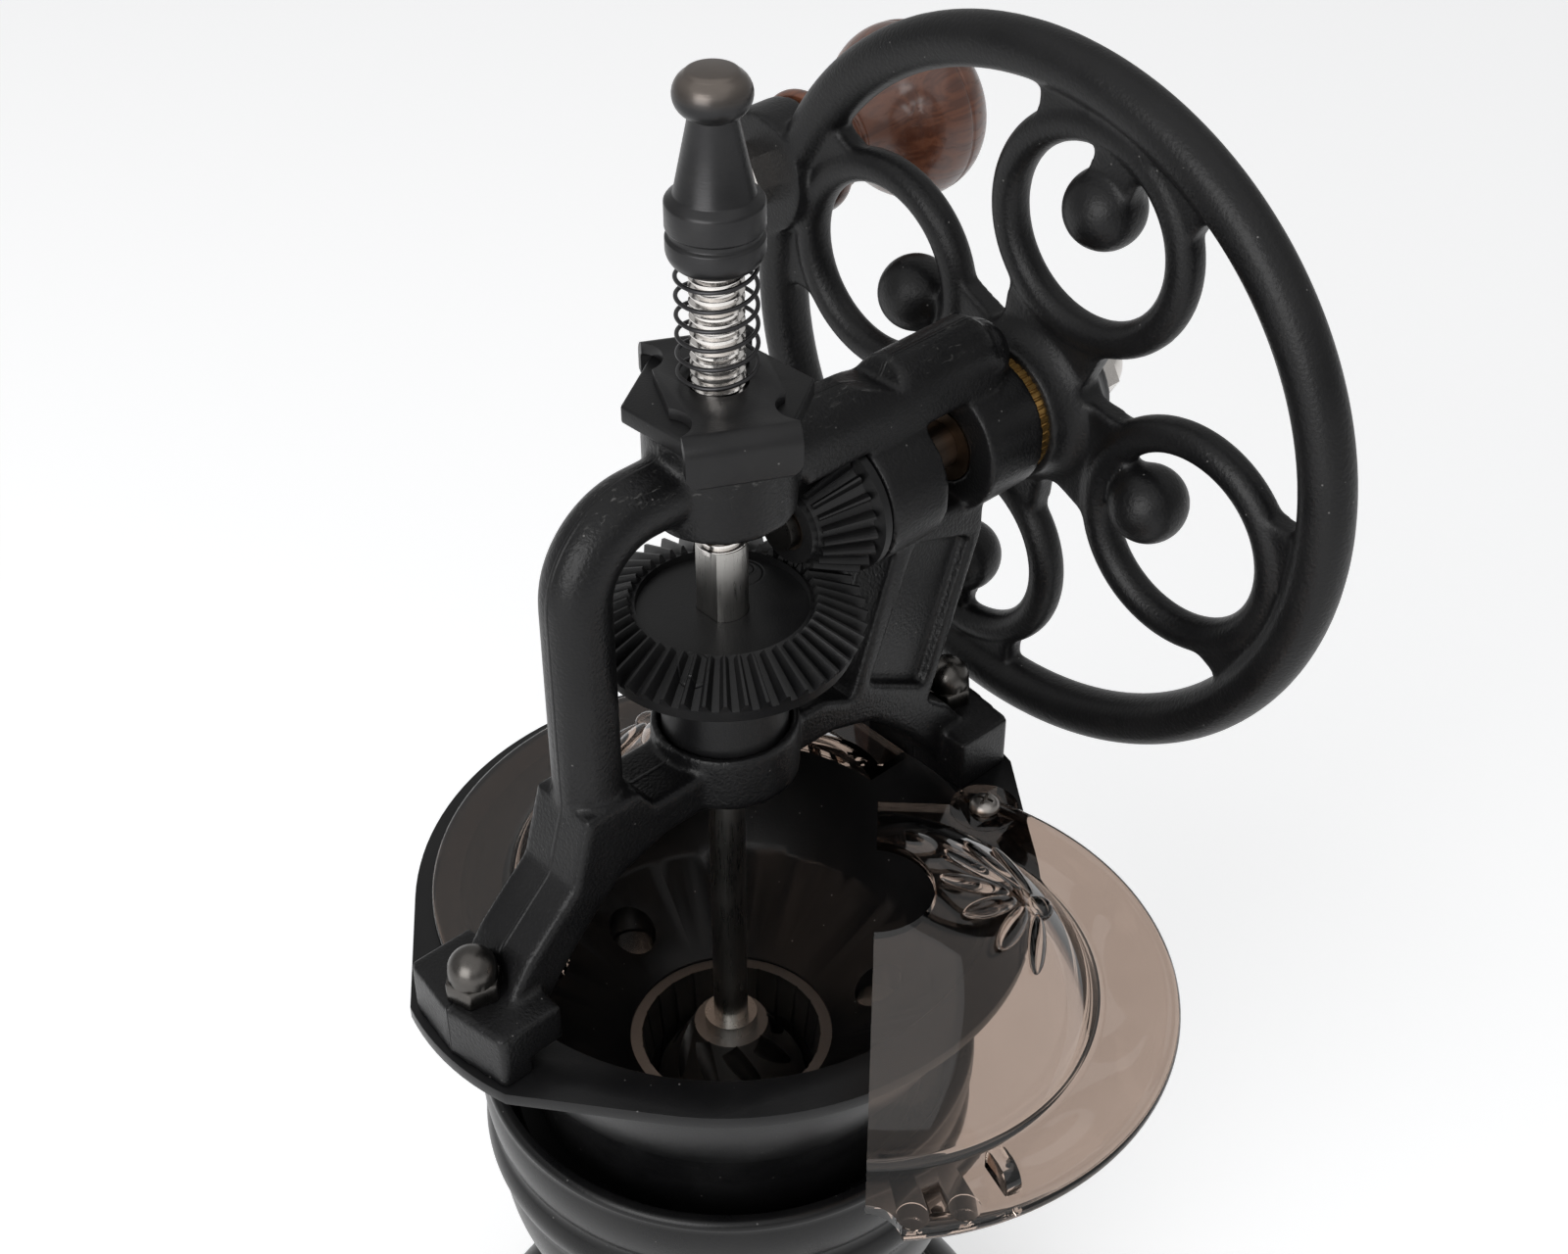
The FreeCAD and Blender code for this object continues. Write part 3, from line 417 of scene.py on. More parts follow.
def operator(operation: str, swapped: bool = False) -> Callable[[Term, Term | float], Term]:
    """Method that turns one of Python's operators into a Math node.

    Args:
        operation: The node's operation.
        swapped: True where the other value comes first.

    Returns:
        The method.
    """
    def apply(self: Term, other: Term | float) -> Term:
        """Work on this value and another."""
        pair = (other, self) if swapped else (self, other)
        return self.board.math(operation, *pair)
    return apply


class Term:
    """A shader value that Python's operators turn into Math nodes."""

    __add__ = operator("ADD")
    __radd__ = operator("ADD", swapped=True)
    __sub__ = operator("SUBTRACT")
    __rsub__ = operator("SUBTRACT", swapped=True)
    __mul__ = operator("MULTIPLY")
    __rmul__ = operator("MULTIPLY", swapped=True)

    def __init__(self, board: Wiring, socket: bpy.types.NodeSocket) -> None:
        """Wrap a socket of a board."""
        self.board = board
        self.socket = socket

    def step(self, low: float, high: float) -> Term:
        """Smooth rise from 0 at low to 1 at high."""
        made = self.board.node("ShaderNodeMapRange", {"interpolation_type": "SMOOTHSTEP"},
                               {"Value": self, "From Min": low, "From Max": high})
        return Term(self.board, made.outputs[0])


class Wiring:
    """Node tree that starts empty."""

    def __init__(self, tree: bpy.types.NodeTree) -> None:
        """Take over a tree and clear it."""
        self.tree = tree
        tree.nodes.clear()

    def feed(self, socket: bpy.types.NodeSocket, value: object) -> None:
        """Link a term or socket, or set a plain value."""
        if isinstance(value, Term):
            value = value.socket
        if isinstance(value, bpy.types.NodeSocket):
            self.tree.links.new(value, socket)
        elif socket.type == "RGBA" and len(value) == 3:
            socket.default_value = (*value, 1.0)
        else:
            socket.default_value = value

    def node(self, kind: str, settings: dict | None = None, values: dict | None = None) -> bpy.types.Node:
        """Make one node.

        Args:
            kind: Node type.
            settings: Properties, set first.
            values: Values or links by socket name or number.

        Returns:
            The node.
        """
        made = self.tree.nodes.new(kind)
        for key, value in (settings or {}).items():
            setattr(made, key, value)
        for key, value in (values or {}).items():
            self.feed(made.inputs[key], value)
        return made

    def math(self, operation: str, first: Term | float, second: Term | float) -> Term:
        """One Math node on two values."""
        made = self.node("ShaderNodeMath", {"operation": operation}, {0: first, 1: second})
        return Term(self, made.outputs[0])

    def seen_by(self, *ways: str) -> Term:
        """Value that is 1 for rays of the named kinds, as the Light Path node names them."""
        path = self.node("ShaderNodeLightPath")
        total = Term(self, path.outputs[ways[0]])
        for way in ways[1:]:
            total = self.math("MAXIMUM", total, Term(self, path.outputs[way]))
        return total


class Board(Wiring):
    """Node board of one material."""

    def __init__(self, name: str) -> None:
        """Start a material with one shader."""
        self.material = bpy.data.materials.new(name)
        self.material.use_nodes = True
        super().__init__(self.material.node_tree)
        self.shader = self.node("ShaderNodeBsdfPrincipled")
        self.node("ShaderNodeOutputMaterial", None, {"Surface": self.shader.outputs[0]})
        self.coordinates = self.node("ShaderNodeTexCoord").outputs["Object"]

    def stretched(self, scale: tuple) -> bpy.types.NodeSocket:
        """Object coordinates, stretched along the axes."""
        values = {"Vector": self.coordinates, "Scale": scale}
        return self.node("ShaderNodeMapping", {"vector_type": "POINT"}, values).outputs[0]

    def place(self, axis: Axis) -> Term:
        """One object coordinate in millimetres."""
        split = self.node("ShaderNodeSeparateXYZ", None, {0: self.coordinates})
        return Term(self, split.outputs[axis.name]) * (1 / MM)

    def noise(self, size: float, detail: float = 3, stretch: tuple = (1, 1, 1),
              distortion: float = 0) -> Term:
        """Cloudy noise from 0 to 1.

        Args:
            size: Size of one cloud in millimetres.
            detail: Octaves.
            stretch: Repeats along each axis, relative to the size.
            distortion: How far the clouds are pulled about.

        Returns:
            The noise value.
        """
        made = self.node("ShaderNodeTexNoise", None, {
            "Vector": self.stretched(stretch), "Scale": 1 / (size * MM), "Detail": detail,
            "Distortion": distortion})
        return Term(self, made.outputs[0])

    def specks(self, size: float, share: float) -> Term:
        """Sparse round specks, 1 inside.

        Args:
            size: Distance between specks in millimetres.
            share: Radius of a speck as a share of that distance.

        Returns:
            The mask.
        """
        made = self.node("ShaderNodeTexVoronoi", None, {
            "Vector": self.coordinates, "Scale": 1 / (size * MM), "Randomness": 1.0})
        return 1 - Term(self, made.outputs["Distance"]).step(share * 0.6, share)

    def blend(self, factor: Term | float, first: object, second: object) -> bpy.types.NodeSocket:
        """Mix two colours."""
        made = self.node("ShaderNodeMix", {"data_type": "RGBA"}, {0: factor, 6: first, 7: second})
        return made.outputs[2]

    def bump(self, height: Term, depth: float) -> bpy.types.NodeSocket:
        """Normal from a height, with the depth of the relief in millimetres."""
        return self.node("ShaderNodeBump", None, {
            "Strength": 1.0, "Distance": depth * MM, "Height": height}).outputs[0]

    def surface(self, **values: object) -> bpy.types.Material:
        """Feed the shader; underscores in a name stand for spaces.

        Args:
            values: Values or links of the shader's sockets.

        Returns:
            The finished material.
        """
        for key, value in values.items():
            self.feed(self.shader.inputs[key.replace("_", " ")], value)
        return self.material


@dataclass(frozen=True)
class SatinBlack:
    """Black paint or moulding with a fine grain, soft clouds, dust and rubbed marks."""

    name: str
    dark: Colour = (0.0042, 0.0042, 0.0046)
    light: Colour = (0.0090, 0.0088, 0.0091)
    rough: float = 0.36
    grain: float = 0.55
    relief: float = 0.05
    gloss: float = 0.24
    rubbed_from: float = 0.0
    rubbed_amount: float = 0.0
    parting: float = 0.0

    def material(self) -> bpy.types.Material:
        """Build the finish."""
        board = Board(self.name)
        clouds = board.noise(14, 4)
        grain = board.noise(self.grain, 2)
        base = board.blend(clouds.step(0.3, 0.75), self.dark, self.light)
        rough = self.rough + (clouds - 0.5) * 0.16 + (grain - 0.5) * 0.12
        if self.rubbed_amount:
            high = board.place(Axis.Z).step(self.rubbed_from, self.rubbed_from + 3)
            marks = board.noise(1.2, 6, (0.5, 1.5, 1.5), 1.0).step(0.60, 0.74)
            rubbed = marks * high * self.rubbed_amount
            base = board.blend(rubbed, base, (0.16, 0.156, 0.15))
            rough = rough + rubbed * 0.14
        dust = board.specks(3.4, 0.055)
        base = board.blend(dust * 0.35, base, (0.34, 0.33, 0.32))
        height = grain
        if self.parting:
            away = board.math("ABSOLUTE", board.place(Axis.Y), 0.0)
            height = grain + (1 - away.step(0.1, 0.45)) * self.parting
        return board.surface(Base_Color=base, Roughness=rough, Specular_IOR_Level=self.gloss,
                             Normal=board.bump(height, self.relief))


@dataclass(frozen=True)
class GearMoulding:
    """Matte moulding of the gears with round marks on the flat disc."""

    name: str
    marks: tuple = ()

    def material(self) -> bpy.types.Material:
        """Build the finish."""
        board = Board(self.name)
        clouds = board.noise(9, 4)
        grain = board.noise(0.35, 2)
        height = grain * 0.25
        x, y = board.place(Axis.X), board.place(Axis.Y)
        for at_x, at_y, radius in self.marks:
            away = board.math("SQRT", (x - at_x) * (x - at_x) + (y - at_y) * (y - at_y), 0.0)
            edge = board.math("ABSOLUTE", away - radius, 0.0)
            height = height - (1 - edge.step(0.08, 0.3))
        base = board.blend(clouds.step(0.3, 0.8), (0.0055, 0.0055, 0.006), (0.012, 0.0118, 0.0118))
        rough = 0.34 + clouds * 0.16
        return board.surface(Base_Color=base, Roughness=rough, Specular_IOR_Level=0.32,
                             Normal=board.bump(height, 0.12))


@dataclass(frozen=True)
class SmokedClear:
    """Clear smoked plastic with faint smears."""

    name: str
    tint: Colour = (0.46, 0.352, 0.29)

    def material(self) -> bpy.types.Material:
        """Build the finish."""
        board = Board(self.name)
        smears = board.noise(11, 3, (1, 1, 1), 0.8)
        deep = tuple(0.9 * part for part in self.tint)
        base = board.blend(smears, deep, self.tint)
        return board.surface(Base_Color=base, Roughness=0.015 + smears.step(0.45, 0.8) * 0.05,
                             Transmission_Weight=1.0, IOR=1.52)


@dataclass(frozen=True)
class DrawnMetal:
    """Metal with fine lines along one axis."""

    name: str
    colour: Colour
    rough: float = 0.30
    along: Axis = Axis.Z
    lines: float = 0.25
    contrast: float = 0.25

    def material(self) -> bpy.types.Material:
        """Build the finish."""
        board = Board(self.name)
        stretch = [0.04 if axis is self.along else 1.0 for axis in Axis]
        lines = board.noise(self.lines, 3, tuple(stretch))
        clouds = board.noise(5, 3)
        shade = tuple(part * (1 - self.contrast) for part in self.colour)
        base = board.blend(lines * 0.6 + clouds * 0.4, shade, self.colour)
        rough = self.rough + (lines - 0.5) * 0.18 + (clouds - 0.5) * 0.1
        return board.surface(Base_Color=base, Roughness=rough, Metallic=1.0,
                             Normal=board.bump(lines, 0.012))


@dataclass(frozen=True)
class Gunmetal:
    """Dark burnished metal whose top is painted browner and lighter: partly rubbed wear, partly a painted
    highlight.
    """

    name: str
    lit_top_from: float

    def material(self) -> bpy.types.Material:
        """Build the finish."""
        board = Board(self.name)
        clouds = board.noise(4, 4)
        rings = board.noise(0.30, 2, (0.15, 0.15, 1.0))
        # Painted highlight and wear: above the given height the colour turns a lighter brown, partly rubbed
        # metal and partly the light falling on the top.
        worn_and_lit_top = board.place(Axis.Z).step(self.lit_top_from, self.lit_top_from + 3.2) * (0.65 + clouds * 0.35)
        base = board.blend(clouds, (0.021, 0.021, 0.0225), (0.037, 0.0365, 0.037))
        base = board.blend(worn_and_lit_top, base, (0.15, 0.128, 0.112))
        rough = 0.36 + (rings - 0.5) * 0.14 + (clouds - 0.5) * 0.1 - worn_and_lit_top * 0.06
        return board.surface(Base_Color=base, Roughness=rough, Metallic=0.75,
                             Normal=board.bump(rings, 0.02))


@dataclass(frozen=True)
class TurnedWood:
    """Lacquered wood with its grain along one axis."""

    name: str
    dark: Colour
    light: Colour
    along: Axis = Axis.X
    coat: float = 0.5

    def material(self) -> bpy.types.Material:
        """Build the finish."""
        board = Board(self.name)
        stretch = tuple(0.14 if axis is self.along else 1.0 for axis in Axis)
        fine = tuple(0.05 if axis is self.along else 1.0 for axis in Axis)
        years = board.noise(6.5, 4, stretch, 0.9)
        bands = board.math("SINE", years * 34, 0.0) * 0.5 + 0.5
        pores = board.noise(0.7, 3, fine).step(0.54, 0.72)
        base = board.blend(bands * 0.55 + years * 0.45, self.dark, self.light)
        deep = tuple(part * 0.4 for part in self.dark)
        base = board.blend(pores * 0.3, base, deep)
        return board.surface(Base_Color=base, Roughness=0.34 + pores * 0.2 + bands * 0.06,
                             Coat_Weight=self.coat, Coat_Roughness=0.16,
                             Normal=board.bump(bands * 0.25 - pores, 0.012))


@dataclass(frozen=True)
class DullRubber:
    """Matte rubber with a fine bloom."""

    name: str

    def material(self) -> bpy.types.Material:
        """Build the finish."""
        board = Board(self.name)
        bloom = board.noise(3, 5)
        base = board.blend(bloom, (0.013, 0.013, 0.013), (0.028, 0.027, 0.026))
        return board.surface(Base_Color=base, Roughness=0.75 + bloom * 0.15, Normal=board.bump(bloom, 0.04))


class Shop:
    """All finishes, made once."""

    def __init__(self) -> None:
        """Make the materials."""
        arm_low = up(84)
        # Height above which the finial's top is painted lighter: partly wear, partly a painted highlight.
        finial_lit_top = up(141.5)
        disc_marks = ((-13.3, -8.5, 2.5), (8.0, 4.5, 3.4), (9.0, 5.0, 1.6))
        black, metal, wood = SatinBlack, DrawnMetal, TurnedWood
        self.cast = black("cast_black", rubbed_from=arm_low, rubbed_amount=0.5, parting=1.6,
                          relief=0.11).material()
        self.wheel = black("wheel_black", rough=0.40, grain=0.6, relief=0.09).material()
        self.hopper = black("hopper_black", rough=0.34, grain=0.4, relief=0.02).material()
        self.nut = black("nut_black", rough=0.42, grain=0.4, relief=0.03).material()
        self.clip = black("clip_black", (0.008, 0.008, 0.0085), (0.016, 0.0156, 0.016), 0.38, 0.3,
                          0.02).material()
        self.stand = black("stand_black", rough=0.30, grain=0.5, relief=0.015).material()
        self.gear = GearMoulding("gear_black", disc_marks).material()
        self.pinion = GearMoulding("pinion_black").material()
        self.smoked = SmokedClear("smoked_clear").material()
        self.steel = metal("drawn_steel", (0.56, 0.545, 0.52), 0.30, contrast=0.35).material()
        self.shaft = metal("shaft_steel", (0.20, 0.155, 0.125), 0.36, Axis.X).material()
        self.bronze = metal("dark_bronze", (0.13, 0.09, 0.06), 0.46, Axis.X).material()
        self.thread = metal("thread_steel", (0.80, 0.77, 0.74), 0.17, lines=0.5, contrast=0.2).material()
        self.nickel = metal("nickel_plate", (0.66, 0.63, 0.60), 0.20, lines=0.6, contrast=0.1).material()
        self.dull_nickel = metal("dull_nickel", (0.34, 0.32, 0.30), 0.34, lines=0.6, contrast=0.15).material()
        self.dark_nickel = metal("black_nickel", (0.10, 0.094, 0.088), 0.30, lines=0.6).material()
        self.burr = metal("burr_steel", (0.30, 0.29, 0.28), 0.42, lines=0.8).material()
        self.wire = metal("spring_wire", (0.055, 0.054, 0.056), 0.34, lines=0.4).material()
        self.brass = metal("plain_brass", (0.52, 0.31, 0.10), 0.34, Axis.X).material()
        self.gunmetal = Gunmetal("gunmetal", finial_lit_top).material()
        self.red_wood = wood("red_wood", (0.068, 0.019, 0.009), (0.185, 0.062, 0.028)).material()
        self.drawer_wood = wood("drawer_wood", (0.20, 0.10, 0.045), (0.42, 0.25, 0.13), Axis.Y,
                                0.15).material()
        self.rubber = DullRubber("dull_rubber").material()

    def paint(self, material: bpy.types.Material, *nodes: str) -> None:
        """Give CAD nodes that stay as they are their finish."""
        for node in nodes:
            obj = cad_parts[node]
            obj.data.materials.clear()
            obj.data.materials.append(material)


@dataclass
class Stand:
    """Turned column and plinth with the drawer's pieces."""

    shop: Shop
    plinth_top: float = 28.0
    chute: float = 13.0
    edge: float = 0.6

    def column(self) -> None:
        """Ringed column, turned in one piece."""
        path = [
            (self.chute, self.plinth_top), (44, self.plinth_top), (45, 29, 44, 30), (42.5, 30),
            (33, 37.5, 28.5, 54), (30.4, 70, 38, 82), (41.6, 90.5, 42.6, 101), (43.0, 102),
            (44.5, 105.4, 43.9, 109.6), (43.4, 111.2, 43.8, 112.8), (44.5, 117.6, 44.2, 122.2),
            (43.9, 123.6, 43.2, 124), (41.9, 124), (40.2, 117), (39, 114), (22.4, 114),
            (22.4, 98), (self.chute, 78)]
        piece = Piece.lathe("column", path, 160, closed=True).bevelled(0.35, 2, 28)
        piece.dressed(self.shop.stand, "base", "stand_black", "base_column")

    def plinth(self) -> None:
        """Plinth, drawer front and the plain pieces of the foot."""
        piece = Piece.from_node("base_plinth", "plinth").bevelled(self.edge, 3, 32)
        piece.dressed(self.shop.stand, "base", "stand_black", "base_plinth")
        front = Piece.from_node("drawer_front", "drawer_panel").bevelled(self.edge, 3, 32)
        front.dressed(self.shop.stand, "drawer", "stand_black", "drawer_front")
        tray = Piece.from_node("drawer_box", "drawer_tray").bevelled(0.4, 2, 32)
        tray.dressed(self.shop.drawer_wood, "drawer", "drawer_wood", "drawer_box")

    def build(self) -> None:
        """Build and dress the stand."""
        self.column()
        self.plinth()
        self.shop.paint(self.shop.rubber, "rubber_pad")
        self.shop.paint(self.shop.steel, "base_plate")
        self.shop.paint(self.shop.nickel, "plate_screws", "drawer_screw", "hopper_screws")
        self.shop.paint(self.shop.red_wood, "drawer_knob")


@dataclass
class Hopper:
    """Bowl with its flange and the mill in its foot."""

    shop: Shop
    edge: float = 0.5

    def build(self) -> None:
        """Build and dress the hopper."""
        bowl = Piece.from_node("hopper", "hopper_bowl").bevelled(self.edge, 3, 35)
        bowl.dressed(self.shop.hopper, "base", "black_plastic", "hopper")
        self.shop.paint(self.shop.burr, "outer_burr", "inner_burr")
        self.shop.paint(self.shop.nickel, "burr_nut")


@dataclass
class Casting:
    """Arch with its legs, bosses and bearings, and the nuts on its feet."""

    shop: Shop
    voxel: float = 0.55
    passes: int = 9
    foot_top: float = 10.2
    bolt_x: float = 52.2
    bolt_r: float = 2.5
    nut_flats: float = 8.0
    nut_high: float = 3.4
    nut_turn: float = 15.0
    nut_fit: float = 0.02
    web_half: float = 6.5
    panel_deep: float = 2.2
    arm_r: float = 6.4
    arm_up: float = 81.1
    arm_near: float = 33.0
    arm_far: float = 54.0
    arm_edge: float = 1.5
    notch_half: float = 9.0

    def body(self) -> None:
        """The casting, with every corner rounded as foundry work is."""
        arm = Vector((self.arm_near, 0, up(self.arm_up)))
        bar = Piece.rod("arm_bar", self.arm_r, arm, Axis.X, self.arm_far - self.arm_near)
        piece = Piece.from_node("frame", "casting").fused(bar.bevelled(self.arm_edge, 3, 30))
        notch = [(24, 87.4), (32.6, 84.2), (34.8, 88.4), (34.8, 90), (24, 90)]
        piece.cut(Piece.plate("arm_notch", notch, lambda x, z: Vector((x, -self.notch_half, up(z))),
                              Vector((0, 2 * self.notch_half, 0))))
        panel = [(26.5, 31), (39.5, 23.5), (49, 50), (36, 54.5)]
        for low in (-self.web_half - 1, self.web_half - self.panel_deep):
            piece.cut(Piece.plate("panel", panel, lambda x, z: Vector((x, low, up(z))),
                                  Vector((0, self.panel_deep + 1, 0))))
        piece.cast(self.voxel, self.passes)
        piece.dressed(self.shop.cast, "base", "cast_black", "frame", smooth=60)

    def acorn(self, side: int) -> Piece:
        """One domed nut on its collar.

        Args:
            side: -1 or 1, the foot it stands on.

        Returns:
            The nut, open below for the bolt.
        """
        low = up(self.foot_top)
        corner = self.nut_flats / math.sqrt(3)
        middle = Vector((side * self.bolt_x, 0, low))
        nut = Piece.rod("acorn", corner, middle, Axis.Z, self.nut_high, 6)
        nut.turned(self.nut_turn, Axis.Z, middle[:]).bevelled(0.35, 2, 20)
        dome_r = self.nut_flats / 2 - 0.1
        dome = Piece.lathe("dome", [(0, 0), (dome_r, 0), (dome_r, 4.6), (2.76, 7.36, 0, 8.5)], 48)
        hole = Piece.rod("hole", self.bolt_r + self.nut_fit, middle - Vector((0, 0, 1)), Axis.Z, 7)
        return nut.fused(dome.moved(*middle)).cut(hole)

    def build(self) -> None:
        """Build and dress the casting."""
        self.body()
        nuts = self.acorn(-1).gathered(self.acorn(1))
        nuts.dressed(self.shop.dark_nickel, "base", "dark_nickel", "acorn_nuts")
        self.shop.paint(self.shop.dark_nickel, "frame_bolts")
        self.shop.paint(self.shop.bronze, "upper_bush", "lower_bush", "thrust_washer", "bearing_bushes")


@dataclass
class Spindle:
    """Shaft with its thread, nut, clip, spring and finial."""

    shop: Shop
    low_r: float = 3.0
    shaft_r: float = 4.0
    flat: float = 3.2
    step_up: float = 33.75
    key_top: float = 70.0
    rod_top: float = 126.5
    foot: float = -68.0
    pitch: float = 1.25
    thread_depth: float = 0.62
    collar_r: float = 4.6
    collar_low: float = -35.0
    collar_top: float = -32.5
    clip_turn: float = -118.0
    clip_top: float = 97.9
    clip_half: float = 9.0
    clip_fit: float = 0.5
    hollow_r: float = 4.2
    hollow_at: tuple = (9.2, 10.3)
    squeezed: float = 0.66

    def shaft(self) -> None:
        """Plain lower shaft and the keyed length with its flat."""
        radius, low, high = self.low_r, self.foot, self.step_up
        lower = Piece.lathe("spindle_shaft", [
            (0, low), (radius - 0.4, low), (radius, low + 0.4), (radius, self.collar_low),
            (self.collar_r, self.collar_low), (self.collar_r, self.collar_top), (radius, self.collar_top),
            (radius, high), (0, high)], 64)
        length = self.key_top - self.step_up
        keyed = Piece.rod("keyed", self.shaft_r, Vector((0, 0, self.step_up)), Axis.Z, length, 96)
        keyed.sliced((-self.flat, 0, 0), (-1, 0, 0))
        piece = lower.gathered(keyed).moved(0, 0, FLANGE_Z)
        piece.dressed(self.shop.steel, "spindle", "steel", "spindle")

    def thread(self) -> None:
        """Threaded rod, one outline carried up a helix."""
        root = self.shaft_r - self.thread_depth
        turns = math.ceil((self.rod_top - self.key_top) / self.pitch)
        outline = [(root, 0), (root, self.pitch * 0.12), (self.shaft_r, self.pitch * 0.44),
                   (self.shaft_r, self.pitch * 0.56), (root, self.pitch * 0.88), (root, self.pitch)]
        piece = Piece.traced("thread", outline, lambda r, z: Vector((r, 0, z)))
        piece.modified("SCREW", angle=FULL_TURN, screw_offset=self.pitch, iterations=turns, steps=48,
                       render_steps=48, use_merge_vertices=True, merge_threshold=0.001)
        with piece.editing():
            bpy.ops.mesh.remove_doubles(threshold=0.001)
            bpy.ops.mesh.normals_make_consistent(inside=False)
        core = Piece.rod("core", root + 0.05, Vector((0, 0, 0)), Axis.Z, self.pitch * (turns - 1), 48)
        piece.gathered(core).moved(0, 0, up(self.key_top - self.pitch))
        piece.dressed(self.shop.thread, "spindle", "steel", smooth=25)

    def finial(self) -> None:
        """Turned finial with a flattened ball on its neck."""
        path = [
            (4.0, 117), (5.6, 117), (6.6, 118, 7.05, 119.4), (7.05, 121.3), (6.5, 121.6), (6.5, 122.5),
            (7.05, 122.8), (7.05, 126.6), (6.75, 127.0), (5.75, 127.7), (3.43, 139.0),
            (5.5, 142.1, 3.95, 144.9), (3.6, 145.25, 3.0, 145.5), (0, 145.75)]
        piece = Piece.lathe("finial", path, 96).bevelled(0.16, 2, 24)
        piece.moved(0, 0, FLANGE_Z).dressed(self.shop.gunmetal, "spindle", "gunmetal", "adjust_knob")

    def clip(self) -> None:
        """Sheet clip with round bends and hollowed sides, and the nut below it."""
        top = self.clip_top
        side = [
            (-15.5, 90.4), (-15.5, 94.9), (-14.62, 97.02, -12.5, top), (12.5, top),
            (14.62, 97.02, 15.5, 94.9), (15.5, 90.4), (15.1, 90.0), (14.1, 90.0), (13.7, 90.4), (13.7, 94.9),
            (13.35, 95.75, 12.5, 96.1), (-12.5, 96.1), (-13.35, 95.75, -13.7, 94.9), (-13.7, 90.4),
            (-14.1, 90.0), (-15.1, 90.0)]
        front = [
            (-8.5, 100), (-8.5, 92.6), (-7.74, 90.76, -5.9, 90.0), (5.9, 90.0), (7.74, 90.76, 8.5, 92.6),
            (8.5, 100)]
        piece = Piece.plate("clip", side, lambda x, z: Vector((x, -self.clip_half, z)),
                            Vector((0, 2 * self.clip_half, 0)))
        flaps = Piece.plate("flaps", front, lambda y, z: Vector((-20, y, z)), Vector((40, 0, 0)))
        piece.boolean(flaps, "INTERSECT")
        x, y = self.hollow_at
        for corner in ((-x, -y), (-x, y), (x, -y), (x, y)):
            piece.cut(Piece.rod("hollow", self.hollow_r, Vector((*corner, 95)), Axis.Z, 5, 48))
        piece.cut(Piece.rod("spindle_hole", self.shaft_r + self.clip_fit, Vector((0, 0, 95)), Axis.Z, 5))
        piece.bevelled(0.3, 2, 35).turned(self.clip_turn, Axis.Z).moved(0, 0, FLANGE_Z)
        piece.dressed(self.shop.clip, "clip", "gunmetal", "lock_clip")
        nut = Piece.from_node("adjust_nut", "hexagon_nut").bevelled(0.45, 3, 30)
        nut.dressed(self.shop.nut, "adjuster", "black_plastic", "adjust_nut")

    def spring(self) -> None:
        """Coil spring, a copy of its CAD node that rides on the clip."""
        piece = Piece.from_node("clip_spring", "coil_spring")
        piece.dressed(self.shop.wire, "clip", "spring_wire", "clip_spring")
        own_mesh(piece.obj)

    def build(self) -> None:
        """Build and dress the spindle."""
        self.shaft()
        self.thread()
        self.finial()
        self.clip()
        self.spring()


